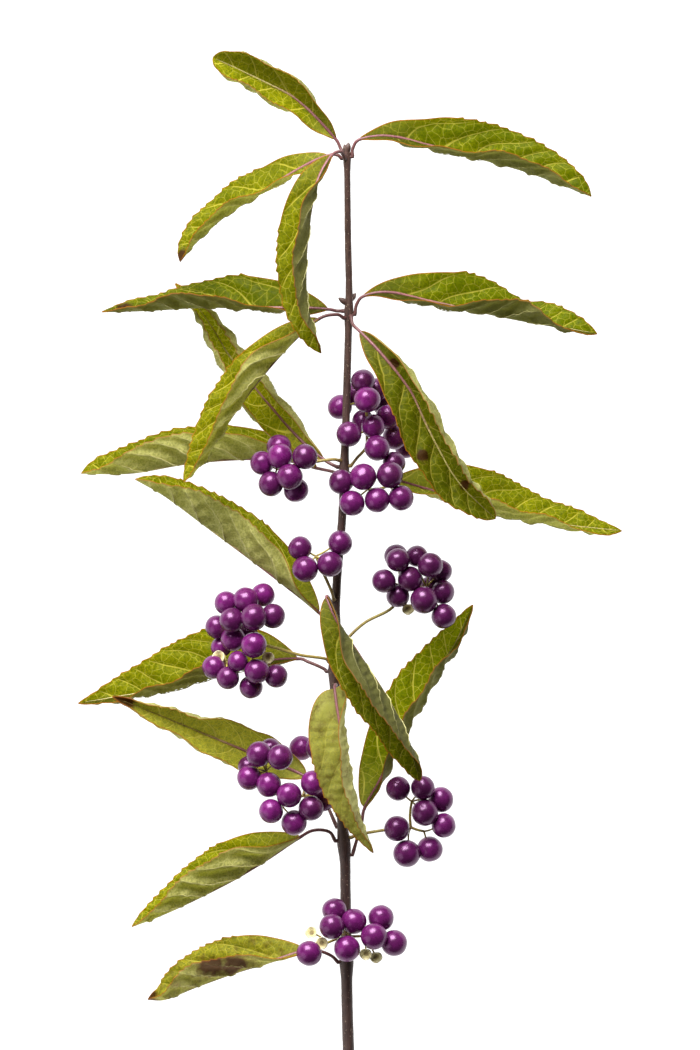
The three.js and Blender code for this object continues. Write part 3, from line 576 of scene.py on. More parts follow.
class Leaf:
    """A leaf's midrib, and the surface of its blade, which is folded along it."""

    def __init__(self, name, sizes, looks, seed):
        self.name = name
        self.sizes = sizes
        self.looks = looks
        self.random = np.random.default_rng(seed)
        first = spot(*sizes["stalk"][0])
        self.root, leaving = stem_exit(sizes["node"], first)
        through = [leaving] + [spot(*p) for p in sizes["stalk"] + sizes["midrib"]]
        base_at = (1 + len(sizes["stalk"])) / (len(through) - 1)
        self.stalk = curve_through(through, np.linspace(0, base_at, LEAF_STALK_STEPS))
        line = curve_through(through, np.linspace(base_at, 1, MIDRIB_STEPS))
        steps = np.linalg.norm(np.diff(line, axis=0), axis=1)
        run = np.concatenate([[0], np.cumsum(steps)])
        self.length = run[-1]
        even = np.linspace(0, self.length, MIDRIB_STEPS)
        self.midrib = np.stack([np.interp(even, run, line[:, k]) for k in range(3)], 1)
        self.tangent = unit(np.gradient(self.midrib, axis=0))
        self.leftward = unit(np.cross([0, 0, 1], self.tangent))
        self.upward = np.cross(self.tangent, self.leftward)
        jitter = self.random.uniform(-TOOTH_UNEVENNESS, TOOTH_UNEVENNESS, (2, TEETH_PER_SIDE + 1))
        even_places = np.linspace(FIRST_TOOTH, LAST_TOOTH, TEETH_PER_SIDE + 1)
        self.tooth_places = even_places + jitter * TOOTH_PITCH
        self.tooth_sizes = self.random.uniform(SMALLEST_TOOTH, LARGEST_TOOTH, (2, TEETH_PER_SIDE))
        self.wave_start = self.random.uniform(0, 2 * math.pi, 2)
        self.pucker_turn = self.random.uniform(0, 2 * math.pi, PUCKER_COUNT)
        self.pucker_pitch = self.random.uniform(SHORTEST_PUCKER, LONGEST_PUCKER, PUCKER_COUNT)

    def along(self, field, shares):
        """A vector kept along the midrib, read at shares of its length."""
        place = np.clip(shares, 0, 1) * (len(field) - 1)
        return np.stack([np.interp(place, np.arange(len(field)), field[:, k]) for k in range(3)], -1)

    def reach(self, shares):
        """Half width of the flattened blade without its teeth."""
        widest = self.sizes["widest"]
        s = np.clip(shares, 0, 1)
        power = np.where(s < widest, self.sizes["base_power"], TIP_POWER)
        outline = (s / widest) ** power * ((1 - s) / (1 - widest)) ** (power * (1 - widest) / widest)
        end = BLADE_END_HALF_WIDTH + (TIP_HALF_WIDTH - BLADE_END_HALF_WIDTH) * s
        round_tip = np.sqrt(1 - np.clip((s - ROUND_TIP_FROM) / (1 - ROUND_TIP_FROM), 0, 0.98) ** 2)
        return (end + (self.sizes["half_width"] - end) * outline) * round_tip

    def teeth(self, shares, side):
        """Height of the teeth at shares of the length; side is 0 on the left and 1 on the right."""
        places = self.tooth_places[side]
        k = np.clip(np.searchsorted(places, shares, "right") - 1, 0, TEETH_PER_SIDE - 1)
        p = (shares - places[k]) / (places[k + 1] - places[k])
        back = (np.clip(p, 0, 1) / TOOTH_LEAN) ** TOOTH_BACK_POWER
        front = (1 - np.clip(p, 0, 1)) / (1 - TOOTH_LEAN)
        height = np.minimum(back, front) * self.tooth_sizes[side][k]
        inside = (shares > places[0]) & (shares < places[-1])
        full = TOOTH_HEIGHT * np.minimum(1, self.reach(shares) / SMALL_TOOTH_REACH)
        return np.where(inside, height, 0) * full

    def vein_phase(self, shares, run, is_left):
        """Counts the side veins along a half; whole numbers lie on a vein."""
        y = shares * self.length
        sway = VEIN_SWAY * np.sin(y * VEIN_SWAY_PITCH + self.wave_start[0])
        sway = sway + FINE_SWAY * np.sin(run * FINE_SWAY_PITCH + self.wave_start[1])
        forward = y - VEIN_SLANT * run - VEIN_BOW * run**2
        crowded = forward * (1 + VEIN_CROWDING * np.maximum(forward, 0) / self.length)
        return crowded / VEIN_SPACING + np.where(is_left, 0, VEIN_STAGGER) + sway

    def surface(self, shares, across):
        """Middle surface of the blade: places, upper-face normals, run from the midrib and half width."""
        is_left = across < 0
        toothed = np.where(is_left, self.teeth(shares, 0), self.teeth(shares, 1))
        reach = self.reach(shares)
        run = np.abs(across) * (reach + toothed)
        rise = np.where(is_left, between(self.sizes["left"], shares), between(self.sizes["right"], shares))
        curl = np.where(is_left, *self.sizes["curl"])
        roll = np.where(is_left, *self.looks["roll"])
        turn = curl / (reach + TOOTH_HEIGHT)

        def angle(distance):
            rolled = np.clip((distance / reach - ROLL_FROM) / (1 - ROLL_FROM), 0, ROLL_LIMIT)
            return np.radians(rise - curl / 2 + turn * distance + roll * rolled)

        sideways = np.zeros_like(run)
        towards = np.zeros_like(run)
        for step in range(BEND_STEPS):
            bent = angle(run * (step + 0.5) / BEND_STEPS)
            sideways += np.cos(bent) * run / BEND_STEPS
            towards += np.sin(bent) * run / BEND_STEPS
        last = angle(run)
        side = np.where(is_left, 1, -1)[..., None] * self.along(self.leftward, shares)
        upward = self.along(self.upward, shares)
        place = self.along(self.midrib, shares) + side * sideways[..., None] + upward * towards[..., None]
        normal = -side * np.sin(last)[..., None] + upward * np.cos(last)[..., None]
        return place + normal * self.relief(shares, across, run, is_left)[..., None], normal, run, reach

    def relief(self, shares, across, run, is_left):
        """Height of the blade's swellings between the veins, margin waves and fine puckers."""
        phase = self.vein_phase(shares, run, is_left)
        swelling = np.abs(np.sin(math.pi * phase)) ** QUILT_POWER - QUILT_SINK
        quilt = QUILT_HEIGHT * self.looks.get("quilt", 1)
        inner = (1 - np.exp(-run / QUILT_RISE)) * (1 - np.abs(across) ** 3)
        y = shares * self.length
        start = np.where(is_left, *self.wave_start)
        wave = np.sin(2 * math.pi * y / WAVE_LENGTH + start) * np.abs(across) ** 2.5
        ends = np.clip(shares / BASE_FADE, 0, 1) * np.clip((1 - shares) / TIP_FADE, 0, 1)
        pucker = np.zeros_like(y)
        for turn, pitch in zip(self.pucker_turn, self.pucker_pitch):
            line = y * math.cos(turn) + across * PUCKER_SPREAD * math.sin(turn)
            pucker += np.sin(2 * math.pi * line / pitch + 5 * turn)
        return (quilt * swelling * inner + WAVE_HEIGHT * wave + PUCKER_HEIGHT * pucker * inner) * ends


# Meshes

def add_object(name, mesh):
    obj = bpy.data.objects.new(name, mesh)
    scene.collection.objects.link(obj)
    return obj


def store(mesh, name, values):
    """Keeps a number or a vector for each vertex."""
    values = np.asarray(values, np.float32)
    is_vector = values.ndim == 2
    layer = mesh.attributes.new(name, "FLOAT_VECTOR" if is_vector else "FLOAT", "POINT")
    layer.data.foreach_set("vector" if is_vector else "value", values.ravel())


def blade_mesh(leaf, upper_face, under_face):
    """The blade as a closed thin body: upper face, under face and the rim between them."""
    shares, across = np.meshgrid(
        np.linspace(0, 1, BLADE_ROWS), np.linspace(-1, 1, BLADE_COLUMNS), indexing="ij"
    )
    across = EVEN_COLUMNS * across + (1 - EVEN_COLUMNS) * np.sin(across * math.pi / 2)
    place, normal, run, reach = leaf.surface(shares, across)
    middle = BLADE_COLUMNS // 2
    normal[:, middle] = unit(normal[:, middle - 1] + normal[:, middle + 1])
    half = BLADE_HALF_THICKNESS * (1 - MARGIN_THINNING * np.abs(across) ** 6)[..., None]
    count = BLADE_ROWS * BLADE_COLUMNS
    upper = np.arange(count).reshape(BLADE_ROWS, BLADE_COLUMNS)
    under = upper + count
    a, b, c, d = upper[:-1, :-1], upper[:-1, 1:], upper[1:, 1:], upper[1:, :-1]
    faces = [
        np.stack([a, b, c, d], -1).reshape(-1, 4),
        np.stack([a, d, c, b], -1).reshape(-1, 4) + count,
        np.stack([upper[:-1, 0], upper[1:, 0], under[1:, 0], under[:-1, 0]], -1),
        np.stack([upper[:-1, -1], under[:-1, -1], under[1:, -1], upper[1:, -1]], -1),
        np.stack([upper[0, :-1], under[0, :-1], under[0, 1:], upper[0, 1:]], -1),
        np.stack([upper[-1, :-1], upper[-1, 1:], under[-1, 1:], under[-1, :-1]], -1),
    ]
    sides = (place + normal * half, place - normal * half)
    vertices = np.concatenate([side.reshape(-1, 3) for side in sides])
    mesh = bpy.data.meshes.new(leaf.name)
    mesh.from_pydata((vertices * METRE).tolist(), [], np.concatenate(faces).tolist())
    mesh.materials.append(upper_face)
    mesh.materials.append(under_face)
    is_under = np.zeros(len(mesh.polygons), np.int32)
    is_under[len(faces[0]):len(faces[0]) + len(faces[1])] = 1
    mesh.polygons.foreach_set("material_index", is_under)
    mesh.polygons.foreach_set("use_smooth", np.ones(len(mesh.polygons), bool))

    is_left = across < 0
    side = np.where(is_left, -1, 1)
    margin = (1 - np.abs(across)) * reach
    blade = np.stack([side * run, shares * leaf.length, margin], -1).reshape(-1, 3)
    phase = leaf.vein_phase(shares, run, is_left).ravel()
    yellow, brown, dark = leaf.looks["tone"]
    dried = np.zeros_like(shares)
    for share, place_across, radius in leaf.looks.get("blotches", []):
        away = np.hypot((shares - share) * leaf.length, (across - place_across) * reach) / radius
        dried = np.maximum(dried, np.exp(-away * away))
    # Painted shade: each half is darkened by its shade value where it faces away from the light, blended
    # across the midrib
    left_painted_shade, right_painted_shade = leaf.looks.get("shade", (0, 0))
    right_share = np.clip(0.5 + across / PAINTED_SHADE_BLEND, 0, 1)
    dark_tone_and_painted_shade = dark + left_painted_shade * (1 - right_share) + right_painted_shade * right_share
    tone = np.stack([yellow + 0 * dried, brown + dried, dark_tone_and_painted_shade], -1).reshape(-1, 3)
    store(mesh, "blade", np.concatenate([blade, blade]))
    store(mesh, "vein_phase", np.concatenate([phase, phase]))
    store(mesh, "tone", np.concatenate([tone, tone]))
    # Painted sheen pales the blade towards its base; it adds to the leaf's own pale value
    base = np.clip(1 - shares / PAINTED_SHEEN_BASE_SHARE, 0, 1).ravel()
    pale_and_painted_sheen = leaf.looks.get("pale", 0) + BASE_PAINTED_SHEEN * base
    store(mesh, "pale_and_painted_sheen", np.concatenate([pale_and_painted_sheen, pale_and_painted_sheen]))
    add_blade_map(mesh, shares, across, faces)
    return mesh


def add_blade_map(mesh, shares, across, faces):
    """A flat map with the two faces side by side and the rims in strips of their own."""
    strip = 0.02
    rim_start, rim_end = 0.004, 0.016
    u = strip + (across + 1) / 2 * (0.5 - 2 * strip)
    v = strip + shares * (1 - 2 * strip)
    flat = np.stack([u, v], -1).reshape(-1, 2)
    corners = [flat[faces[0]], flat[faces[1] - len(flat)] + [0.5, 0]]
    for left_edge, quads in zip((0.0, 0.5 - strip, 0.5, 1 - strip), faces[2:]):
        level = np.linspace(strip, 1 - strip, len(quads) + 1)
        low, high = level[:-1], level[1:]
        near = np.full_like(low, left_edge + rim_start)
        far = np.full_like(low, left_edge + rim_end)
        around = ((near, low), (near, high), (far, high), (far, low))
        corners.append(np.stack([np.stack(corner, -1) for corner in around], 1))
    layer = mesh.uv_layers.new(name="OFBake")
    layer.uv.foreach_set("vector", np.concatenate(corners).astype(np.float32).ravel())


def side_veins(leaf):
    """Lines along the side veins on the under face, with their radii."""
    lines = []
    for side in (-1, 1):
        for number in range(1, int(leaf.length * (1 + VEIN_CROWDING) / VEIN_SPACING) + 1):
            run = np.linspace(0.0, leaf.sizes["half_width"], SIDE_VEIN_RINGS)
            shares = np.full_like(run, number * VEIN_SPACING / leaf.length)
            for _ in range(VEIN_STEPS):
                away = leaf.vein_phase(shares, run, np.full(run.shape, side < 0)) - number
                shares = shares - VEIN_STEP_SHARE * away * VEIN_SPACING / leaf.length
            reach = leaf.reach(shares)
            kept = (run < VEIN_END * reach) & (shares > VEIN_FROM) & (shares < VEIN_TO)
            if kept.sum() < FEWEST_VEIN_RINGS:
                continue
            run, shares, reach = run[kept], shares[kept], reach[kept]
            place, normal, _, _ = leaf.surface(shares, side * np.maximum(run / reach, NEAR_RIB))
            thin = 1.05 - np.minimum(run / reach / 0.8, 1)
            under = place - normal * BLADE_HALF_THICKNESS
            lines.append((under, SIDE_VEIN_RADIUS * thin, 0.5 + 0.4 * run / reach))
    return lines


def rib_line(leaf):
    """The leaf's stalk and midrib from inside the stem to the tip, with radii and share of the run."""
    shares = np.linspace(0, RIB_END, RIB_RINGS)
    place, left_normal, _, _ = leaf.surface(shares, np.full(RIB_RINGS, -NEAR_RIB))
    _, right_normal, _, _ = leaf.surface(shares, np.full(RIB_RINGS, NEAR_RIB))
    under = -unit(left_normal + right_normal)
    radii = LEAF_STALK_RADIUS * RIB_SHARE * (1 - shares) ** RIB_POWER + RIB_TIP_RADIUS
    sunk = np.minimum(shares / RIB_SINK_SHARE, 1) * radii * RIB_SUNK
    blade_part = place + under * sunk[:, None]
    stalk_radii = LEAF_STALK_RADIUS * np.linspace(1.1, 1.05, len(leaf.stalk))
    stalk_radii[:len(LEAF_STALK_FLARE)] *= LEAF_STALK_FLARE
    points = np.concatenate([[leaf.root], leaf.stalk[:-1], blade_part])
    radii = np.concatenate([[LEAF_STALK_RADIUS * ROOT_FLARE], stalk_radii[:-1], radii])
    share = np.concatenate([np.linspace(-0.25, 0, len(leaf.stalk)), shares])
    return points, radii, share


def line_mesh(name, lines):
    """Edges along lines of points, which keep their radius and their share of the run."""
    points = np.concatenate([line[0] for line in lines])
    edges = []
    start = 0
    for line in lines:
        number = np.arange(start, start + len(line[0]) - 1)
        edges.append(np.stack([number, number + 1], -1))
        start += len(line[0])
    mesh = bpy.data.meshes.new(name)
    mesh.from_pydata((points * METRE).tolist(), np.concatenate(edges).tolist(), [])
    store(mesh, "thick", np.concatenate([line[1] for line in lines]) * METRE)
    store(mesh, "share", np.concatenate([line[2] for line in lines]))
    return mesh


def point_mesh(name, points, sizes, directions):
    """Loose points that keep a size and a direction."""
    mesh = bpy.data.meshes.new(name)
    mesh.from_pydata((np.asarray(points) * METRE).tolist(), [], [])
    store(mesh, "size", np.asarray(sizes) * METRE)
    store(mesh, "outward", np.asarray(directions))
    return mesh


# Nodes

def add_node(tree, kind, inputs=None, **settings):
    """Adds a node, makes its settings, and sets or links its inputs by name or number."""
    node = tree.nodes.new(kind)
    for name, value in settings.items():
        setattr(node, name, value)
    for key, value in (inputs or {}).items():
        if isinstance(value, bpy.types.NodeSocket):
            tree.links.new(value, node.inputs[key])
        else:
            node.inputs[key].default_value = value
    return node


def new_tree(name, sockets):
    """A geometry tree with named inputs, given as (name, kind, value)."""
    tree = bpy.data.node_groups.new(name, "GeometryNodeTree")
    tree.interface.new_socket("Geometry", in_out="INPUT", socket_type="NodeSocketGeometry")
    for label, kind, value in sockets:
        socket = tree.interface.new_socket(label, in_out="INPUT", socket_type="NodeSocket" + kind)
        if value is not None:
            socket.default_value = value
    tree.interface.new_socket("Geometry", in_out="OUTPUT", socket_type="NodeSocketGeometry")
    return tree, add_node(tree, "NodeGroupInput").outputs


def end_tree(tree, geometry, material):
    """Every tree ends in real, smooth geometry with its material."""
    real = add_node(tree, "GeometryNodeRealizeInstances", {0: geometry}).outputs[0]
    smooth = add_node(tree, "GeometryNodeSetShadeSmooth", {0: real}).outputs[0]
    dressed = add_node(tree, "GeometryNodeSetMaterial", {0: smooth, "Material": material}).outputs[0]
    add_node(tree, "NodeGroupOutput", {0: dressed})
    return tree


def made_by(tree, name, mesh, **inputs):
    """A plain mesh object that a tree makes from a mesh of points or edges."""
    carrier = add_object(name + "_source", mesh)
    modifier = carrier.modifiers.new("make", "NODES")
    modifier.node_group = tree
    for item in tree.interface.items_tree:
        if item.in_out == "INPUT" and item.name in inputs:
            modifier[item.identifier] = inputs[item.name]
    depsgraph = bpy.context.evaluated_depsgraph_get()
    shown = carrier.evaluated_get(depsgraph)
    made = bpy.data.meshes.new_from_object(shown, preserve_all_data_layers=True, depsgraph=depsgraph)
    bpy.data.objects.remove(carrier)
    made.name = name
    return add_object(name, made)


def roughened(tree, geometry, grain, depth):
    """Moves a skin in and out by a noise of a grain and a depth."""
    place = add_node(tree, "GeometryNodeInputPosition").outputs[0]
    noise = add_node(tree, "ShaderNodeTexNoise", {
        "Vector": place, "Scale": grain, "Detail": 2.0,
    }).outputs[0]
    centred = add_node(tree, "ShaderNodeMath", {0: noise, 1: 0.5}, operation="SUBTRACT").outputs[0]
    height = add_node(tree, "ShaderNodeMath", {0: centred, 1: depth}, operation="MULTIPLY").outputs[0]
    normal = add_node(tree, "GeometryNodeInputNormal").outputs[0]
    offset = add_node(tree, "ShaderNodeVectorMath", {
        0: normal, "Scale": height,
    }, operation="SCALE").outputs[0]
    return add_node(tree, "GeometryNodeSetPosition", {"Geometry": geometry, "Offset": offset}).outputs[0]


def stalk_tree():
    """Round stalks of the stored thickness along lines, with a slightly uneven skin."""
    tree, given = new_tree("stalks along lines", [
        ("Sides", "Int", 10), ("Unevenness", "Float", 0.0), ("Grain", "Float", 1000.0),
        ("Material", "Material", None),
    ])
    thick = add_node(tree, "GeometryNodeInputNamedAttribute", {
        "Name": "thick",
    }, data_type="FLOAT").outputs[0]
    line = add_node(tree, "GeometryNodeMeshToCurve", {0: given["Geometry"]}).outputs[0]
    ring = add_node(tree, "GeometryNodeCurvePrimitiveCircle", {
        "Resolution": given["Sides"], "Radius": 1.0,
    }).outputs[0]
    tube = add_node(tree, "GeometryNodeCurveToMesh", {
        "Curve": line, "Profile Curve": ring, "Scale": thick, "Fill Caps": True,
    }).outputs[0]
    return end_tree(tree, roughened(tree, tube, given["Grain"], given["Unevenness"]), given["Material"])


def point_rotation(tree):
    """The turn that brings +Z to each point's stored direction."""
    outward = add_node(tree, "GeometryNodeInputNamedAttribute", {
        "Name": "outward",
    }, data_type="FLOAT_VECTOR").outputs[0]
    return add_node(tree, "FunctionNodeAlignRotationToVector", {"Vector": outward}, axis="Z").outputs[0]


def berry_tree():
    """A round, slightly flattened berry with a dimple at its far end on each point."""
    tree, given = new_tree("berries on points", [
        ("Segments", "Int", 30), ("Rings", "Int", 20),
        ("Flattening", "Float", 0.985), ("Dimple", "Float", 0.02),
        ("Unevenness", "Float", 0.0), ("Grain", "Float", 1000.0), ("Least ripe", "Float", 0.0),
        ("Seed", "Int", SEED), ("Material", "Material", None),
    ])
    ball = add_node(tree, "GeometryNodeMeshUVSphere", {
        "Segments": given["Segments"], "Rings": given["Rings"], "Radius": 1.0,
    }).outputs[0]
    place = add_node(tree, "GeometryNodeInputPosition").outputs[0]
    skin = add_node(tree, "GeometryNodeStoreNamedAttribute", {
        "Geometry": ball, "Name": "skin", "Value": place,
    }, data_type="FLOAT_VECTOR", domain="POINT").outputs[0]
    height = add_node(tree, "ShaderNodeSeparateXYZ", {0: place}).outputs["Z"]
    pit = add_node(tree, "ShaderNodeMapRange", {
        "Value": height, "From Min": 0.9, "From Max": 1.0, "To Min": 0.0, "To Max": given["Dimple"],
    }, interpolation_type="SMOOTHSTEP").outputs[0]
    flat = add_node(tree, "ShaderNodeMath", {
        0: given["Flattening"], 1: pit,
    }, operation="SUBTRACT").outputs[0]
    squash = add_node(tree, "ShaderNodeCombineXYZ", {"X": 1.0, "Y": 1.0, "Z": flat}).outputs[0]
    pressed = add_node(tree, "ShaderNodeVectorMath", {0: place, 1: squash}, operation="MULTIPLY").outputs[0]
    berry = add_node(tree, "GeometryNodeSetPosition", {"Geometry": skin, "Position": pressed}).outputs[0]
    size = add_node(tree, "GeometryNodeInputNamedAttribute", {"Name": "size"}, data_type="FLOAT").outputs[0]
    points = add_node(tree, "GeometryNodeMeshToPoints", {"Mesh": given["Geometry"]}).outputs[0]
    placed = add_node(tree, "GeometryNodeInstanceOnPoints", {
        "Points": points, "Instance": berry, "Rotation": point_rotation(tree), "Scale": size,
    }).outputs[0]
    chance = add_node(tree, "FunctionNodeRandomValue", {
        2: given["Least ripe"], 3: 1.0, "Seed": given["Seed"],
    }, data_type="FLOAT").outputs[1]
    ripe = add_node(tree, "GeometryNodeStoreNamedAttribute", {
        "Geometry": placed, "Name": "ripeness", "Value": chance,
    }, data_type="FLOAT", domain="INSTANCE").outputs[0]
    real = add_node(tree, "GeometryNodeRealizeInstances", {0: ripe}).outputs[0]
    return end_tree(tree, roughened(tree, real, given["Grain"], given["Unevenness"]), given["Material"])


def calyx_tree(cup):
    """A small lobed cup on each point."""
    tree, given = new_tree("calyces on points", [("Material", "Material", None)])
    shape = add_node(tree, "GeometryNodeObjectInfo", {"Object": cup}).outputs["Geometry"]
    size = add_node(tree, "GeometryNodeInputNamedAttribute", {"Name": "size"}, data_type="FLOAT").outputs[0]
    points = add_node(tree, "GeometryNodeMeshToPoints", {"Mesh": given["Geometry"]}).outputs[0]
    placed = add_node(tree, "GeometryNodeInstanceOnPoints", {
        "Points": points, "Instance": shape, "Rotation": point_rotation(tree), "Scale": size,
    }).outputs[0]
    return end_tree(tree, placed, given["Material"])


def lenticel_tree():
    """Small corky specks, long along the stem, scattered over its bark."""
    tree, given = new_tree("lenticels on bark", [
        ("Density", "Float", 1.0), ("Length", "Float", 0.0003), ("Seed", "Int", SEED),
        ("Material", "Material", None),
    ])
    spread = add_node(tree, "GeometryNodeDistributePointsOnFaces", {
        "Mesh": given["Geometry"], "Density": given["Density"], "Seed": given["Seed"],
    }, distribute_method="RANDOM")
    speck = add_node(tree, "GeometryNodeMeshIcoSphere", {"Radius": 1.0, "Subdivisions": 1}).outputs[0]
    chance = add_node(tree, "FunctionNodeRandomValue", {
        2: 0.45, 3: 1.0, "Seed": given["Seed"],
    }, data_type="FLOAT").outputs[1]
    size = add_node(tree, "ShaderNodeMath", {
        0: chance, 1: given["Length"],
    }, operation="MULTIPLY").outputs[0]
    shape = add_node(tree, "ShaderNodeVectorMath", {
        0: (0.45, 1.0, 0.3), "Scale": size,
    }, operation="SCALE").outputs[0]
    placed = add_node(tree, "GeometryNodeInstanceOnPoints", {
        "Points": spread.outputs["Points"], "Instance": speck,
        "Rotation": spread.outputs["Rotation"], "Scale": shape,
    }).outputs[0]
    return end_tree(tree, placed, given["Material"])


# Materials

def linear(code):
    """An sRGB hex colour as linear red, green, blue and alpha."""
    parts = [int(code[i:i + 2], 16) / 255 for i in (1, 3, 5)]
    return tuple(c / 12.92 if c <= 0.04045 else ((c + 0.055) / 1.055) ** 2.4 for c in parts) + (1.0,)


def per_metre(size):
    """Texture scale on metre coordinates for a feature of a size in millimetres."""
    return 1 / (size * METRE)


def new_material(name):
    material = bpy.data.materials.new(name)
    material.use_nodes = True
    material.node_tree.nodes.clear()
    return material, material.node_tree


def blade_colour(tree, masks, shades):
    """Colour of a blade from its masks: mottled green, turned yellow, dark by its tone and by painted
    shade, paled by its paleness and by painted sheen, with pale veins, dried spots and a brown margin."""
    colour = add_node(tree, "ShaderNodeMix", {
        0: masks["mottle"], 6: linear(shades["deep"]), 7: linear(shades["bright"]),
    }, data_type="RGBA").outputs[2]
    for part in ("yellow", "grain", "vein", "pale", "dark", "dried", "margin"):
        colour = add_node(tree, "ShaderNodeMix", {
            0: masks[part], 6: colour, 7: linear(shades[part]),
        }, data_type="RGBA").outputs[2]
    return colour


def leaf_face(name, shades, glow_shades, vein_lift, roughness, show_through):
    """One face of a thin living leaf blade: satin cuticle over a translucent sheet with a net of veins.

    shades are its own colours and glow_shades those of light that has passed through it, vein_lift is
    the height of a vein in millimetres, below 0 where veins are sunken, and show_through the share of
    light that passes through the face.
    """
    material, tree = new_material(name)
    blade = add_node(tree, "ShaderNodeAttribute", attribute_name="blade").outputs["Vector"]
    phase = add_node(tree, "ShaderNodeAttribute", attribute_name="vein_phase").outputs["Fac"]
    tone = add_node(tree, "ShaderNodeAttribute", attribute_name="tone").outputs["Vector"]
    pale_and_painted_sheen = add_node(tree, "ShaderNodeAttribute", attribute_name="pale_and_painted_sheen").outputs["Fac"]
    place = add_node(tree, "ShaderNodeTexCoord").outputs["Object"]
    across = add_node(tree, "ShaderNodeSeparateXYZ", {0: blade}).outputs
    turned = add_node(tree, "ShaderNodeSeparateXYZ", {0: tone}).outputs

    # Side veins lie where the phase is a whole number, and fade before the margin
    shifted = add_node(tree, "ShaderNodeMath", {0: phase, 1: 0.5}, operation="ADD").outputs[0]
    cycle = add_node(tree, "ShaderNodeMath", {0: shifted}, operation="FRACT").outputs[0]
    centred = add_node(tree, "ShaderNodeMath", {0: cycle, 1: 0.5}, operation="SUBTRACT").outputs[0]
    away = add_node(tree, "ShaderNodeMath", {0: centred}, operation="ABSOLUTE").outputs[0]
    line = add_node(tree, "ShaderNodeMapRange", {
        "Value": away, "From Min": 0.014, "From Max": 0.05, "To Min": 1.0, "To Max": 0.0,
    }, interpolation_type="SMOOTHSTEP").outputs[0]
    inner = add_node(tree, "ShaderNodeMapRange", {
        "Value": across["Z"], "From Min": 0.2, "From Max": 1.2,
    }).outputs[0]
    side_vein = add_node(tree, "ShaderNodeMath", {0: line, 1: inner}, operation="MULTIPLY").outputs[0]

    # A finer net, with meshes of about NET_MESH, follows the side veins
    pitch = add_node(tree, "ShaderNodeMath", {
        0: phase, 1: MESHES_PER_VEIN,
    }, operation="MULTIPLY").outputs[0]
    outward = add_node(tree, "ShaderNodeMath", {0: across["X"]}, operation="ABSOLUTE").outputs[0]
    onward = add_node(tree, "ShaderNodeMath", {
        0: across["Y"], 1: VEIN_LEAN, 2: outward,
    }, operation="MULTIPLY_ADD").outputs[0]
    run = add_node(tree, "ShaderNodeMath", {
        0: onward, 1: 1 / (NET_MESH * math.hypot(1, VEIN_LEAN)),
    }, operation="MULTIPLY").outputs[0]
    ladder = add_node(tree, "ShaderNodeCombineXYZ", {"X": pitch, "Y": run}).outputs[0]
    bend = add_node(tree, "ShaderNodeTexNoise", {
        "Vector": ladder, "Scale": 0.9, "Detail": 2.0,
    }).outputs["Color"]
    bent = add_node(tree, "ShaderNodeVectorMath", {
        0: bend, 1: (0.5, 0.5, 0.0), 2: ladder,
    }, operation="MULTIPLY_ADD").outputs[0]
    cells = add_node(tree, "ShaderNodeTexVoronoi", {
        "Vector": bent, "Scale": 1.0, "Randomness": 0.85,
    }, feature="DISTANCE_TO_EDGE", voronoi_dimensions="2D").outputs["Distance"]
    net = add_node(tree, "ShaderNodeMapRange", {
        "Value": cells, "From Min": 0.014, "From Max": 0.05, "To Min": 1.0, "To Max": 0.0,
    }, interpolation_type="SMOOTHSTEP").outputs[0]

    # Masks of the colours
    clouds = add_node(tree, "ShaderNodeTexNoise", {
        "Vector": place, "Scale": per_metre(5), "Detail": 4.0, "Roughness": 0.6,
    }).outputs["Fac"]
    patchy = add_node(tree, "ShaderNodeMapRange", {
        "Value": clouds, "From Min": 0.3, "From Max": 0.7, "To Min": 0.0, "To Max": 0.65,
    }).outputs[0]
    near_vein = add_node(tree, "ShaderNodeMapRange", {
        "Value": cells, "From Min": 0.04, "From Max": 0.22, "To Min": 0.15, "To Max": 0.0,
    }).outputs[0]
    mottle = add_node(tree, "ShaderNodeMath", {
        0: patchy, 1: near_vein,
    }, operation="ADD", use_clamp=True).outputs[0]
    pebbles = add_node(tree, "ShaderNodeTexNoise", {
        "Vector": place, "Scale": per_metre(0.35), "Detail": 3.0,
    }).outputs["Fac"]
    grain = add_node(tree, "ShaderNodeMapRange", {
        "Value": pebbles, "From Min": 0.42, "From Max": 0.64, "To Max": 0.7,
    }).outputs[0]
    netted = add_node(tree, "ShaderNodeMath", {0: net, 1: 0.55}, operation="MULTIPLY").outputs[0]
    veining = add_node(tree, "ShaderNodeMath", {
        0: side_vein, 1: 1.0, 2: netted,
    }, operation="MULTIPLY_ADD", use_clamp=True).outputs[0]
    spots = add_node(tree, "ShaderNodeTexNoise", {
        "Vector": place, "Scale": per_metre(1.6), "Detail": 5.0, "Roughness": 0.65,
    }).outputs["Fac"]
    drying = add_node(tree, "ShaderNodeMath", {0: spots, 1: turned["Y"]}, operation="ADD").outputs[0]
    dried = add_node(tree, "ShaderNodeMapRange", {
        "Value": drying, "From Min": 0.8, "From Max": 1.15, "To Max": 0.9,
    }).outputs[0]
    margin = add_node(tree, "ShaderNodeMapRange", {
        "Value": across["Z"], "From Min": 0.06, "From Max": 0.2, "To Min": 0.8, "To Max": 0.0,
    }).outputs[0]
    # The dark mask holds the leaf's own dark tone plus the painted shade of its halves, and the pale mask
    # its paleness plus painted sheen
    masks = dict(
        mottle=mottle, yellow=turned["X"], dark=turned["Z"], grain=grain,
        pale=pale_and_painted_sheen, vein=veining, dried=dried, margin=margin,
    )
    colour = blade_colour(tree, masks, shades)
    glow = blade_colour(tree, masks, glow_shades)

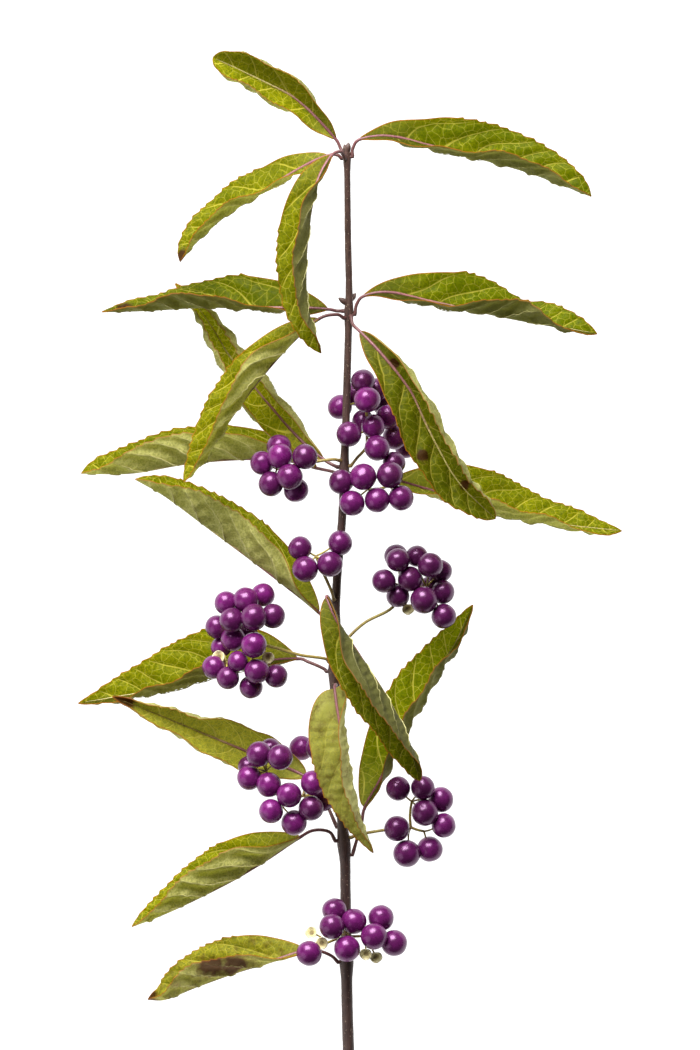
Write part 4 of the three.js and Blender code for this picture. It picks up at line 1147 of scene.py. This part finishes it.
    # Relief: veins, then fine pebbling
    ridges = add_node(tree, "ShaderNodeMath", {
        0: net, 1: 0.5, 2: side_vein,
    }, operation="MULTIPLY_ADD").outputs[0]
    height = add_node(tree, "ShaderNodeMath", {
        0: pebbles, 1: 0.4, 2: ridges,
    }, operation="MULTIPLY_ADD").outputs[0]
    relief = add_node(tree, "ShaderNodeBump", {
        "Height": height, "Strength": 0.6, "Distance": vein_lift * METRE,
    }).outputs[0]
    gloss = add_node(tree, "ShaderNodeMapRange", {
        "Value": clouds, "To Min": roughness - 0.08, "To Max": roughness + 0.08,
    }).outputs[0]
    cuticle = add_node(tree, "ShaderNodeBsdfPrincipled", {
        "Base Color": colour, "Roughness": gloss, "Normal": relief, "Specular IOR Level": 0.15,
    }).outputs[0]
    sheet = add_node(tree, "ShaderNodeBsdfTranslucent", {"Color": glow, "Normal": relief}).outputs[0]
    both = add_node(tree, "ShaderNodeMixShader", {0: show_through, 1: cuticle, 2: sheet}).outputs[0]
    add_node(tree, "ShaderNodeOutputMaterial", {"Surface": both})
    return material


def berry_skin():
    """Thin glossy skin of a ripe berry: deep violet with a soft mottle and a dark scar at its far end."""
    material, tree = new_material("berry skin, glossy violet")
    skin = add_node(tree, "ShaderNodeAttribute", attribute_name="skin").outputs["Vector"]
    ripeness = add_node(tree, "ShaderNodeAttribute", attribute_name="ripeness").outputs["Fac"]
    place = add_node(tree, "ShaderNodeTexCoord").outputs["Object"]
    mottle = add_node(tree, "ShaderNodeTexNoise", {
        "Vector": place, "Scale": per_metre(1.4), "Detail": 4.0, "Roughness": 0.6,
    }).outputs["Fac"]
    patch = add_node(tree, "ShaderNodeMapRange", {
        "Value": mottle, "From Min": 0.35, "From Max": 0.7,
    }).outputs[0]
    violet = add_node(tree, "ShaderNodeMix", {
        0: patch, 6: linear("#581450"), 7: linear("#761d6c"),
    }, data_type="RGBA").outputs[2]
    # Deep colour from ripeness is the berries' own, except in bunches with a high least ripeness, where it
    # is painted shade
    deepened = add_node(tree, "ShaderNodeMath", {0: ripeness, 1: 0.7}, operation="MULTIPLY").outputs[0]
    ripe = add_node(tree, "ShaderNodeMix", {
        0: deepened, 6: violet, 7: linear("#36112c"),
    }, data_type="RGBA").outputs[2]
    height = add_node(tree, "ShaderNodeSeparateXYZ", {0: skin}).outputs["Z"]
    scar = add_node(tree, "ShaderNodeMapRange", {
        "Value": height, "From Min": 0.988, "From Max": 0.997, "To Max": 0.35,
    }, interpolation_type="SMOOTHSTEP").outputs[0]
    scarred = add_node(tree, "ShaderNodeMix", {
        0: scar, 6: ripe, 7: linear("#2a1218"),
    }, data_type="RGBA").outputs[2]
    shoulder = add_node(tree, "ShaderNodeMapRange", {
        "Value": height, "From Min": -0.8, "From Max": -0.97, "To Max": 0.6,
    }).outputs[0]
    colour = add_node(tree, "ShaderNodeMix", {
        0: shoulder, 6: scarred, 7: linear("#7d4a63"),
    }, data_type="RGBA").outputs[2]
    dents = add_node(tree, "ShaderNodeTexNoise", {
        "Vector": place, "Scale": per_metre(0.5), "Detail": 3.0,
    }).outputs["Fac"]
    relief = add_node(tree, "ShaderNodeBump", {
        "Height": dents, "Strength": 0.12, "Distance": 0.05 * METRE,
    }).outputs[0]
    gloss = add_node(tree, "ShaderNodeMapRange", {
        "Value": mottle, "To Min": 0.2, "To Max": 0.34,
    }).outputs[0]
    surface = add_node(tree, "ShaderNodeBsdfPrincipled", {
        "Base Color": colour, "Roughness": gloss, "Normal": relief, "IOR": 1.65,
        "Specular Tint": linear("#f4c0f0"),
    }).outputs[0]
    add_node(tree, "ShaderNodeOutputMaterial", {"Surface": surface})
    return material


def plain_tissue(name, stops, streak, size, roughness, stretch=(1, 1, 1), relief_depth=0.03):
    """Bark, rib or stalk tissue: its shade changes along the run by stops of (share, colour), with
    streaks of a darker shade whose size is in millimetres."""
    material, tree = new_material(name)
    place = add_node(tree, "ShaderNodeTexCoord").outputs["Object"]
    share = add_node(tree, "ShaderNodeAttribute", attribute_name="share").outputs["Fac"]
    colour = linear(stops[0][1])
    for (low, _), (high, shade) in zip(stops, stops[1:]):
        turned = add_node(tree, "ShaderNodeMapRange", {
            "Value": share, "From Min": low, "From Max": high,
        }).outputs[0]
        colour = add_node(tree, "ShaderNodeMix", {
            0: turned, 6: colour, 7: linear(shade),
        }, data_type="RGBA").outputs[2]
    drawn = add_node(tree, "ShaderNodeMapping", {"Vector": place, "Scale": stretch}).outputs[0]
    streaks = add_node(tree, "ShaderNodeTexNoise", {
        "Vector": drawn, "Scale": per_metre(size), "Detail": 5.0, "Roughness": 0.6,
    }).outputs["Fac"]
    patch = add_node(tree, "ShaderNodeMapRange", {
        "Value": streaks, "From Min": 0.4, "From Max": 0.7, "To Max": 0.8,
    }).outputs[0]
    streaked = add_node(tree, "ShaderNodeMix", {
        0: patch, 6: colour, 7: linear(streak),
    }, data_type="RGBA").outputs[2]
    relief = add_node(tree, "ShaderNodeBump", {
        "Height": streaks, "Strength": 0.5, "Distance": relief_depth * METRE,
    }).outputs[0]
    surface = add_node(tree, "ShaderNodeBsdfPrincipled", {
        "Base Color": streaked, "Roughness": roughness, "Normal": relief,
    }).outputs[0]
    add_node(tree, "ShaderNodeOutputMaterial", {"Surface": surface})
    return material


def floor_paper():
    """Matt white paper on a light table: it glows evenly, so the sprig casts no hard shadow on it."""
    material, tree = new_material("floor paper, lit from below")
    surface = add_node(tree, "ShaderNodeBsdfPrincipled", {
        "Base Color": linear("#5a5a5a"), "Roughness": 0.9,
        "Emission Color": linear("#ffffff"), "Emission Strength": FLOOR_GLOW,
    }).outputs[0]
    add_node(tree, "ShaderNodeOutputMaterial", {"Surface": surface})
    return material


# The dark shades serve the leaves' own dark tone and the painted shade of halves facing away from the
# light; the pale shades serve paleness and painted sheen
UPPER_SHADES = dict(
    deep="#465802", bright="#7c8804", yellow="#bdaf1c", dark="#484714", grain="#344402", vein="#e6da52",
    pale="#acab6a", dried="#5a3a22", margin="#b0782c",
)
UPPER_GLOW = dict(
    deep="#96ac03", bright="#e0e222", yellow="#fbe644", dark="#6f6a1c", grain="#7c9602", vein="#fffa90",
    pale="#d8d88c", dried="#6a3c1c", margin="#e8a03c",
)
UNDER_SHADES = dict(
    deep="#9a9a4c", bright="#ccca7c", yellow="#d4ca7a", dark="#4c4c24", grain="#78783c", vein="#c6c280",
    pale="#c4c284", dried="#745440", margin="#96643c",
)
UNDER_GLOW = dict(
    deep="#e8eca8", bright="#f4f4b8", yellow="#f8f0a8", dark="#a4a068", grain="#dfe298", vein="#f8f4c0",
    pale="#f0f0c0", dried="#a87850", margin="#f0c890",
)
upper_face = leaf_face("leaf blade, satin upper face", UPPER_SHADES, UPPER_GLOW, -0.1, 0.5, 0.74)
under_face = leaf_face("leaf blade, matt downy under face", UNDER_SHADES, UNDER_GLOW, 0.09, 0.65, 0.3)
berry = berry_skin()
bark = plain_tissue(
    "bark, thin brown-purple", [(0, "#5c423a"), (1, "#4a352f")], "#281a17", 0.35, 0.55,
    stretch=(1, 0.16, 1), relief_depth=0.06,
)
cork = plain_tissue("lenticel cork, pale", [(0, "#a8917c")], "#7e6858", 0.2, 0.8)
cut_wood = plain_tissue("cut wood, pale", [(0, "#e0d2ac")], "#c3ab7c", 0.3, 0.7)
rib = plain_tissue(
    "leaf stalk and midrib, fleshy",
    [(-0.25, "#543432"), (-0.08, "#6e4444"), (0.06, "#8e545e"), (0.35, "#9c6a62"), (0.6, "#c8bc6c")],
    "#6a4440", 0.5, 0.45,
)
vein = plain_tissue("side vein, pale", [(0.5, "#c8c282"), (0.9, "#b4ae68")], "#a8a060", 0.5, 0.55)
stalk = plain_tissue("berry stalk, olive", [(0, "#907a44"), (0.6, "#c6ba52")], "#7a5e36", 0.5, 0.5)
calyx = plain_tissue(
    "calyx, dry pale", [(0.12, "#5e4a2a"), (0.22, "#d6cc90"), (0.5, "#f2ebc4")], "#b09a62", 0.4, 0.65,
)

# Pieces

def keep(obj, node):
    """The piece moves with the sprig and stands in for its solid, which is hidden."""
    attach(obj, "root")
    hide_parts(node)


stalks = stalk_tree()
berries = berry_tree()
lenticels = lenticel_tree()


def make_stem():
    """The stem with its buds, its lenticels and its cut face."""
    levels = np.linspace(0, 1, STEM_RINGS)
    axis = curve_through([spot(x, y, 0) for x, y in STEM_LINE], levels)
    lines = [(axis, stem_radius(axis[:, 1]), levels)]
    for y, towards, length in BUDS:
        foot = stem_axis[np.abs(stem_axis[:, 1] - spot(0, y, 0)[1]).argmin()]
        shares = np.linspace(0, 1, len(BUD_PROFILE))
        out = foot + np.outer(shares * (stem_radius(foot[1]) + length), unit(np.array(towards, float)))
        radii = BUD_RADIUS * np.array(BUD_PROFILE)
        lines.append((out, radii, 0 * shares))
    stem = made_by(
        stalks, "stem_bark", line_mesh("stem lines", lines),
        Sides=30, Unevenness=0.12 * METRE, Grain=per_metre(1.1), Material=bark,
    )
    keep(stem, "stem")
    specks = made_by(
        lenticels, "stem_lenticels", stem.data.copy(),
        Density=700000.0, Length=0.17 * METRE, Seed=SEED, Material=cork,
    )
    keep(specks, "stem")
    end = axis[-1]
    back = unit(axis[-2] - axis[-1])
    face = np.array([end + back * 0.3, end - back * 0.03])
    cut_line = (face, np.full(2, CUT_FACE_RADIUS), np.zeros(2))
    cut = made_by(
        stalks, "stem_cut_face", line_mesh("cut lines", [cut_line]), Sides=30, Material=cut_wood,
    )
    keep(cut, "stem")


def make_leaf(name, number):
    """A leaf as three pieces: blade, stalk with midrib, and side veins."""
    leaf = Leaf(name, LEAVES[name], LEAF_LOOKS[name], SEED + number)
    blade = add_object(name + "_blade", blade_mesh(leaf, upper_face, under_face))
    keep(blade, name)
    ribbed = made_by(
        stalks, name + "_rib", line_mesh(name + " rib", [rib_line(leaf)]),
        Sides=12, Unevenness=0.06 * METRE, Grain=per_metre(0.9), Material=rib,
    )
    keep(ribbed, name)
    veined = made_by(
        stalks, name + "_veins", line_mesh(name + " veins", side_veins(leaf)), Sides=6, Material=vein,
    )
    keep(veined, name)


def placed_berries(bunch):
    """Centre and radius of each berry: as near the viewer as the bunch's round front and the berries
    before it allow."""
    placed = []
    middle = np.mean([b[:2] for b in bunch["berries"]], axis=0)
    for x, y, size, *deepest in bunch["berries"]:
        radius = size * BERRY_DIAMETER / 2
        away = np.hypot(x - middle[0], y - middle[1]) * PIXEL
        front = bunch["front"] - away * away / (2 * bunch["roundness"])
        centre = spot(x, y, min([front, *deepest]))
        for other, other_radius in placed:
            reach = radius + other_radius + BERRY_GAP
            flat = np.hypot(*(centre - other)[:2])
            if flat < reach:
                centre[2] = min(centre[2], other[2] - math.sqrt(reach * reach - flat * flat))
        placed.append((centre, radius))
    return placed


def nearest(places, goal):
    """The one of some places that is closest to a goal."""
    return min(places, key=lambda place: np.linalg.norm(place - goal))


def twig(start, end, start_radius, end_radius, bow):
    """A slightly bowed twig between two places."""
    shares = np.linspace(0, 1, TWIG_RINGS)
    run = end - start
    sag = np.cross(run, TWIG_SAG_AXIS) * bow
    points = start + np.outer(shares, run) + np.outer(np.sin(shares * math.pi), sag)
    return points, start_radius + (end_radius - start_radius) * shares, shares


def make_bunch(name, number, calyces):
    """A bunch as three pieces: berries, branched stalk, and calyces."""
    bunch = BUNCHES[name]
    random = np.random.default_rng(SEED + BUNCH_SEED + number)
    root, leaving = stem_exit(bunch["node"], spot(*bunch["stalk"][0]))
    forks = [spot(*p) for p in bunch["forks"]]
    run = np.linspace(0, 1, BUNCH_STALK_RINGS)
    main = curve_through([leaving] + [spot(*p) for p in bunch["stalk"]] + [forks[0]], run)
    flare = BUNCH_STALK_FLARE - (BUNCH_STALK_FLARE - 1) * np.minimum(run / FLARE_SHARE, 1)
    radii = np.append(BUNCH_STALK_RADIUS * ROOT_FLARE, BUNCH_STALK_RADIUS * flare)
    lines = [(np.vstack([root, main]), radii, np.append(0, run * 0.4))]
    for i, fork in enumerate(forks[1:], 1):
        start = nearest(forks[:i], fork)
        bow = random.uniform(-BRANCH_BOW, BRANCH_BOW)
        lines.append(twig(start, fork, BRANCH_RADIUS * BRANCH_TAPER, BRANCH_RADIUS, bow))
    centres, sizes, outward, cup_places, cup_sizes, cup_outward = [], [], [], [], [], []
    for centre, radius in placed_berries(bunch):
        fork = nearest(forks, centre)
        away = unit(centre - fork + random.normal(0, PEDICEL_STRAY, 3))
        foot = centre - away * radius * PEDICEL_END
        bow = random.uniform(-PEDICEL_BOW, PEDICEL_BOW)
        lines.append(twig(fork, foot, PEDICEL_RADIUS, PEDICEL_RADIUS * PEDICEL_TAPER, bow))
        centres.append(centre)
        sizes.append(radius * BERRY_SWELL)
        outward.append(away)
        cup_places.append(foot - away * CALYX_SET_BACK)
        cup_sizes.append(CALYX_SIZE)
        cup_outward.append(away)
    for place in EMPTY_CALYCES.get(name, []):
        end = spot(*place)
        fork = nearest(forks, end)
        away = unit(end - fork + np.array([0, 0, EMPTY_CALYX_TURN]))
        lines.append(twig(fork, end, PEDICEL_RADIUS, PEDICEL_RADIUS * PEDICEL_TAPER, BRANCH_BOW))
        cup_places.append(end)
        cup_sizes.append(EMPTY_CALYX_SIZE)
        cup_outward.append(away)
    # A high least ripeness here is painted shade: the whole bunch is darkened
    fruit = made_by(
        berries, name + "_berries", point_mesh(name + " berries", centres, sizes, outward),
        Unevenness=0.35 * METRE, Grain=per_metre(4.5), Seed=SEED + number, Material=berry,
        **{"Least ripe": LEAST_RIPE_AS_PAINTED_SHADE.get(name, 0.0)},
    )
    keep(fruit, name)
    branching = made_by(
        stalks, name + "_stalks", line_mesh(name + " stalks", lines),
        Sides=10, Unevenness=0.06 * METRE, Grain=per_metre(0.8), Material=stalk,
    )
    keep(branching, name)
    cup_points = point_mesh(name + " calyces", cup_places, cup_sizes, cup_outward)
    cups = made_by(calyces, name + "_calyces", cup_points, Material=calyx)
    keep(cups, name)


def calyx_cup():
    """A four-lobed cup of unit radius that opens towards +Z, with an outer and an inner wall."""
    profile = [
        (0.0, 0.0, 0), (0.42, 0.03, 0), (0.78, 0.2, 0), (0.98, 0.42, 0.5), (1.08, 0.62, 1),
        (1.0, 0.62, 1), (0.9, 0.45, 0.5), (0.7, 0.28, 0), (0.36, 0.14, 0), (0.0, 0.12, 0),
    ]
    around = 24
    turn = np.arange(around) * 2 * math.pi / around
    lobes = 0.5 + 0.5 * np.cos(4 * turn)
    vertices = [(0.0, 0.0, profile[0][1])]
    for radius, height, lobed in profile[1:-1]:
        lift = height * (1 - 0.45 * lobed * (1 - lobes))
        vertices += list(zip(radius * np.cos(turn), radius * np.sin(turn), lift))
    vertices.append((0.0, 0.0, profile[-1][1]))
    faces = []
    for k in range(around):
        after = (k + 1) % around
        faces.append((0, 1 + after, 1 + k))
        for ring in range(len(profile) - 3):
            low, high = 1 + ring * around, 1 + (ring + 1) * around
            faces.append((low + k, low + after, high + after, high + k))
        last = 1 + (len(profile) - 3) * around
        faces.append((last + k, last + after, len(vertices) - 1))
    mesh = bpy.data.meshes.new("calyx cup")
    mesh.from_pydata(vertices, [], faces)
    store(mesh, "share", [v[2] for v in vertices])
    return add_object("calyx_cup", mesh)


cup = calyx_cup()
calyces = calyx_tree(cup)
make_stem()
for number, name in enumerate(LEAVES):
    make_leaf(name, number)
for number, name in enumerate(BUNCHES):
    make_bunch(name, number, calyces)
bpy.data.objects.remove(cup)


# Floor, light and camera

def add_softbox(name, place, aim, size, power):
    """A square studio softbox that faces a place."""
    light = bpy.data.lights.new(name, "AREA")
    light.size = size
    light.energy = power
    obj = add_object(name, light)
    obj.location = place
    direction = Vector(aim) - Vector(place)
    obj.rotation_euler = direction.to_track_quat("-Z", "Y").to_euler()


floor_mesh = bpy.data.meshes.new("floor")
floor_corners = [(-FLOOR, -FLOOR, 0), (FLOOR, -FLOOR, 0), (FLOOR, FLOOR, 0), (-FLOOR, FLOOR, 0)]
floor_mesh.from_pydata(floor_corners, [], [(0, 1, 2, 3)])
floor_mesh.materials.append(floor_paper())
floor = add_object("floor", floor_mesh)
floor.location.z = -FLOOR_DROP

add_softbox("key_softbox", (-0.3, 1.0, 0.76), LIGHT_AIM, 0.9, KEY_POWER)
add_softbox("fill_softbox", (-0.8, -0.4, 0.5), LIGHT_AIM, 0.8, FILL_POWER)

world = bpy.data.worlds.new("studio")
world.use_nodes = True
world.node_tree.nodes["Background"].inputs["Color"].default_value = linear("#ffffff")
world.node_tree.nodes["Background"].inputs["Strength"].default_value = ROOM_GLOW
scene.world = world
scene.view_settings.view_transform = "Standard"

camera_data = bpy.data.cameras.new("camera")
camera_data.sensor_width = SENSOR
frame_height = IMAGE_HEIGHT * PIXEL * METRE
camera_data.lens = SENSOR * CAMERA_DISTANCE / frame_height
camera = add_object("camera", camera_data)
middle = spot(IMAGE_WIDTH / 2, IMAGE_HEIGHT / 2, 0) * METRE
camera.location = (middle[0], middle[1], MIDDLE_DEPTH * METRE + CAMERA_DISTANCE)
scene.camera = camera
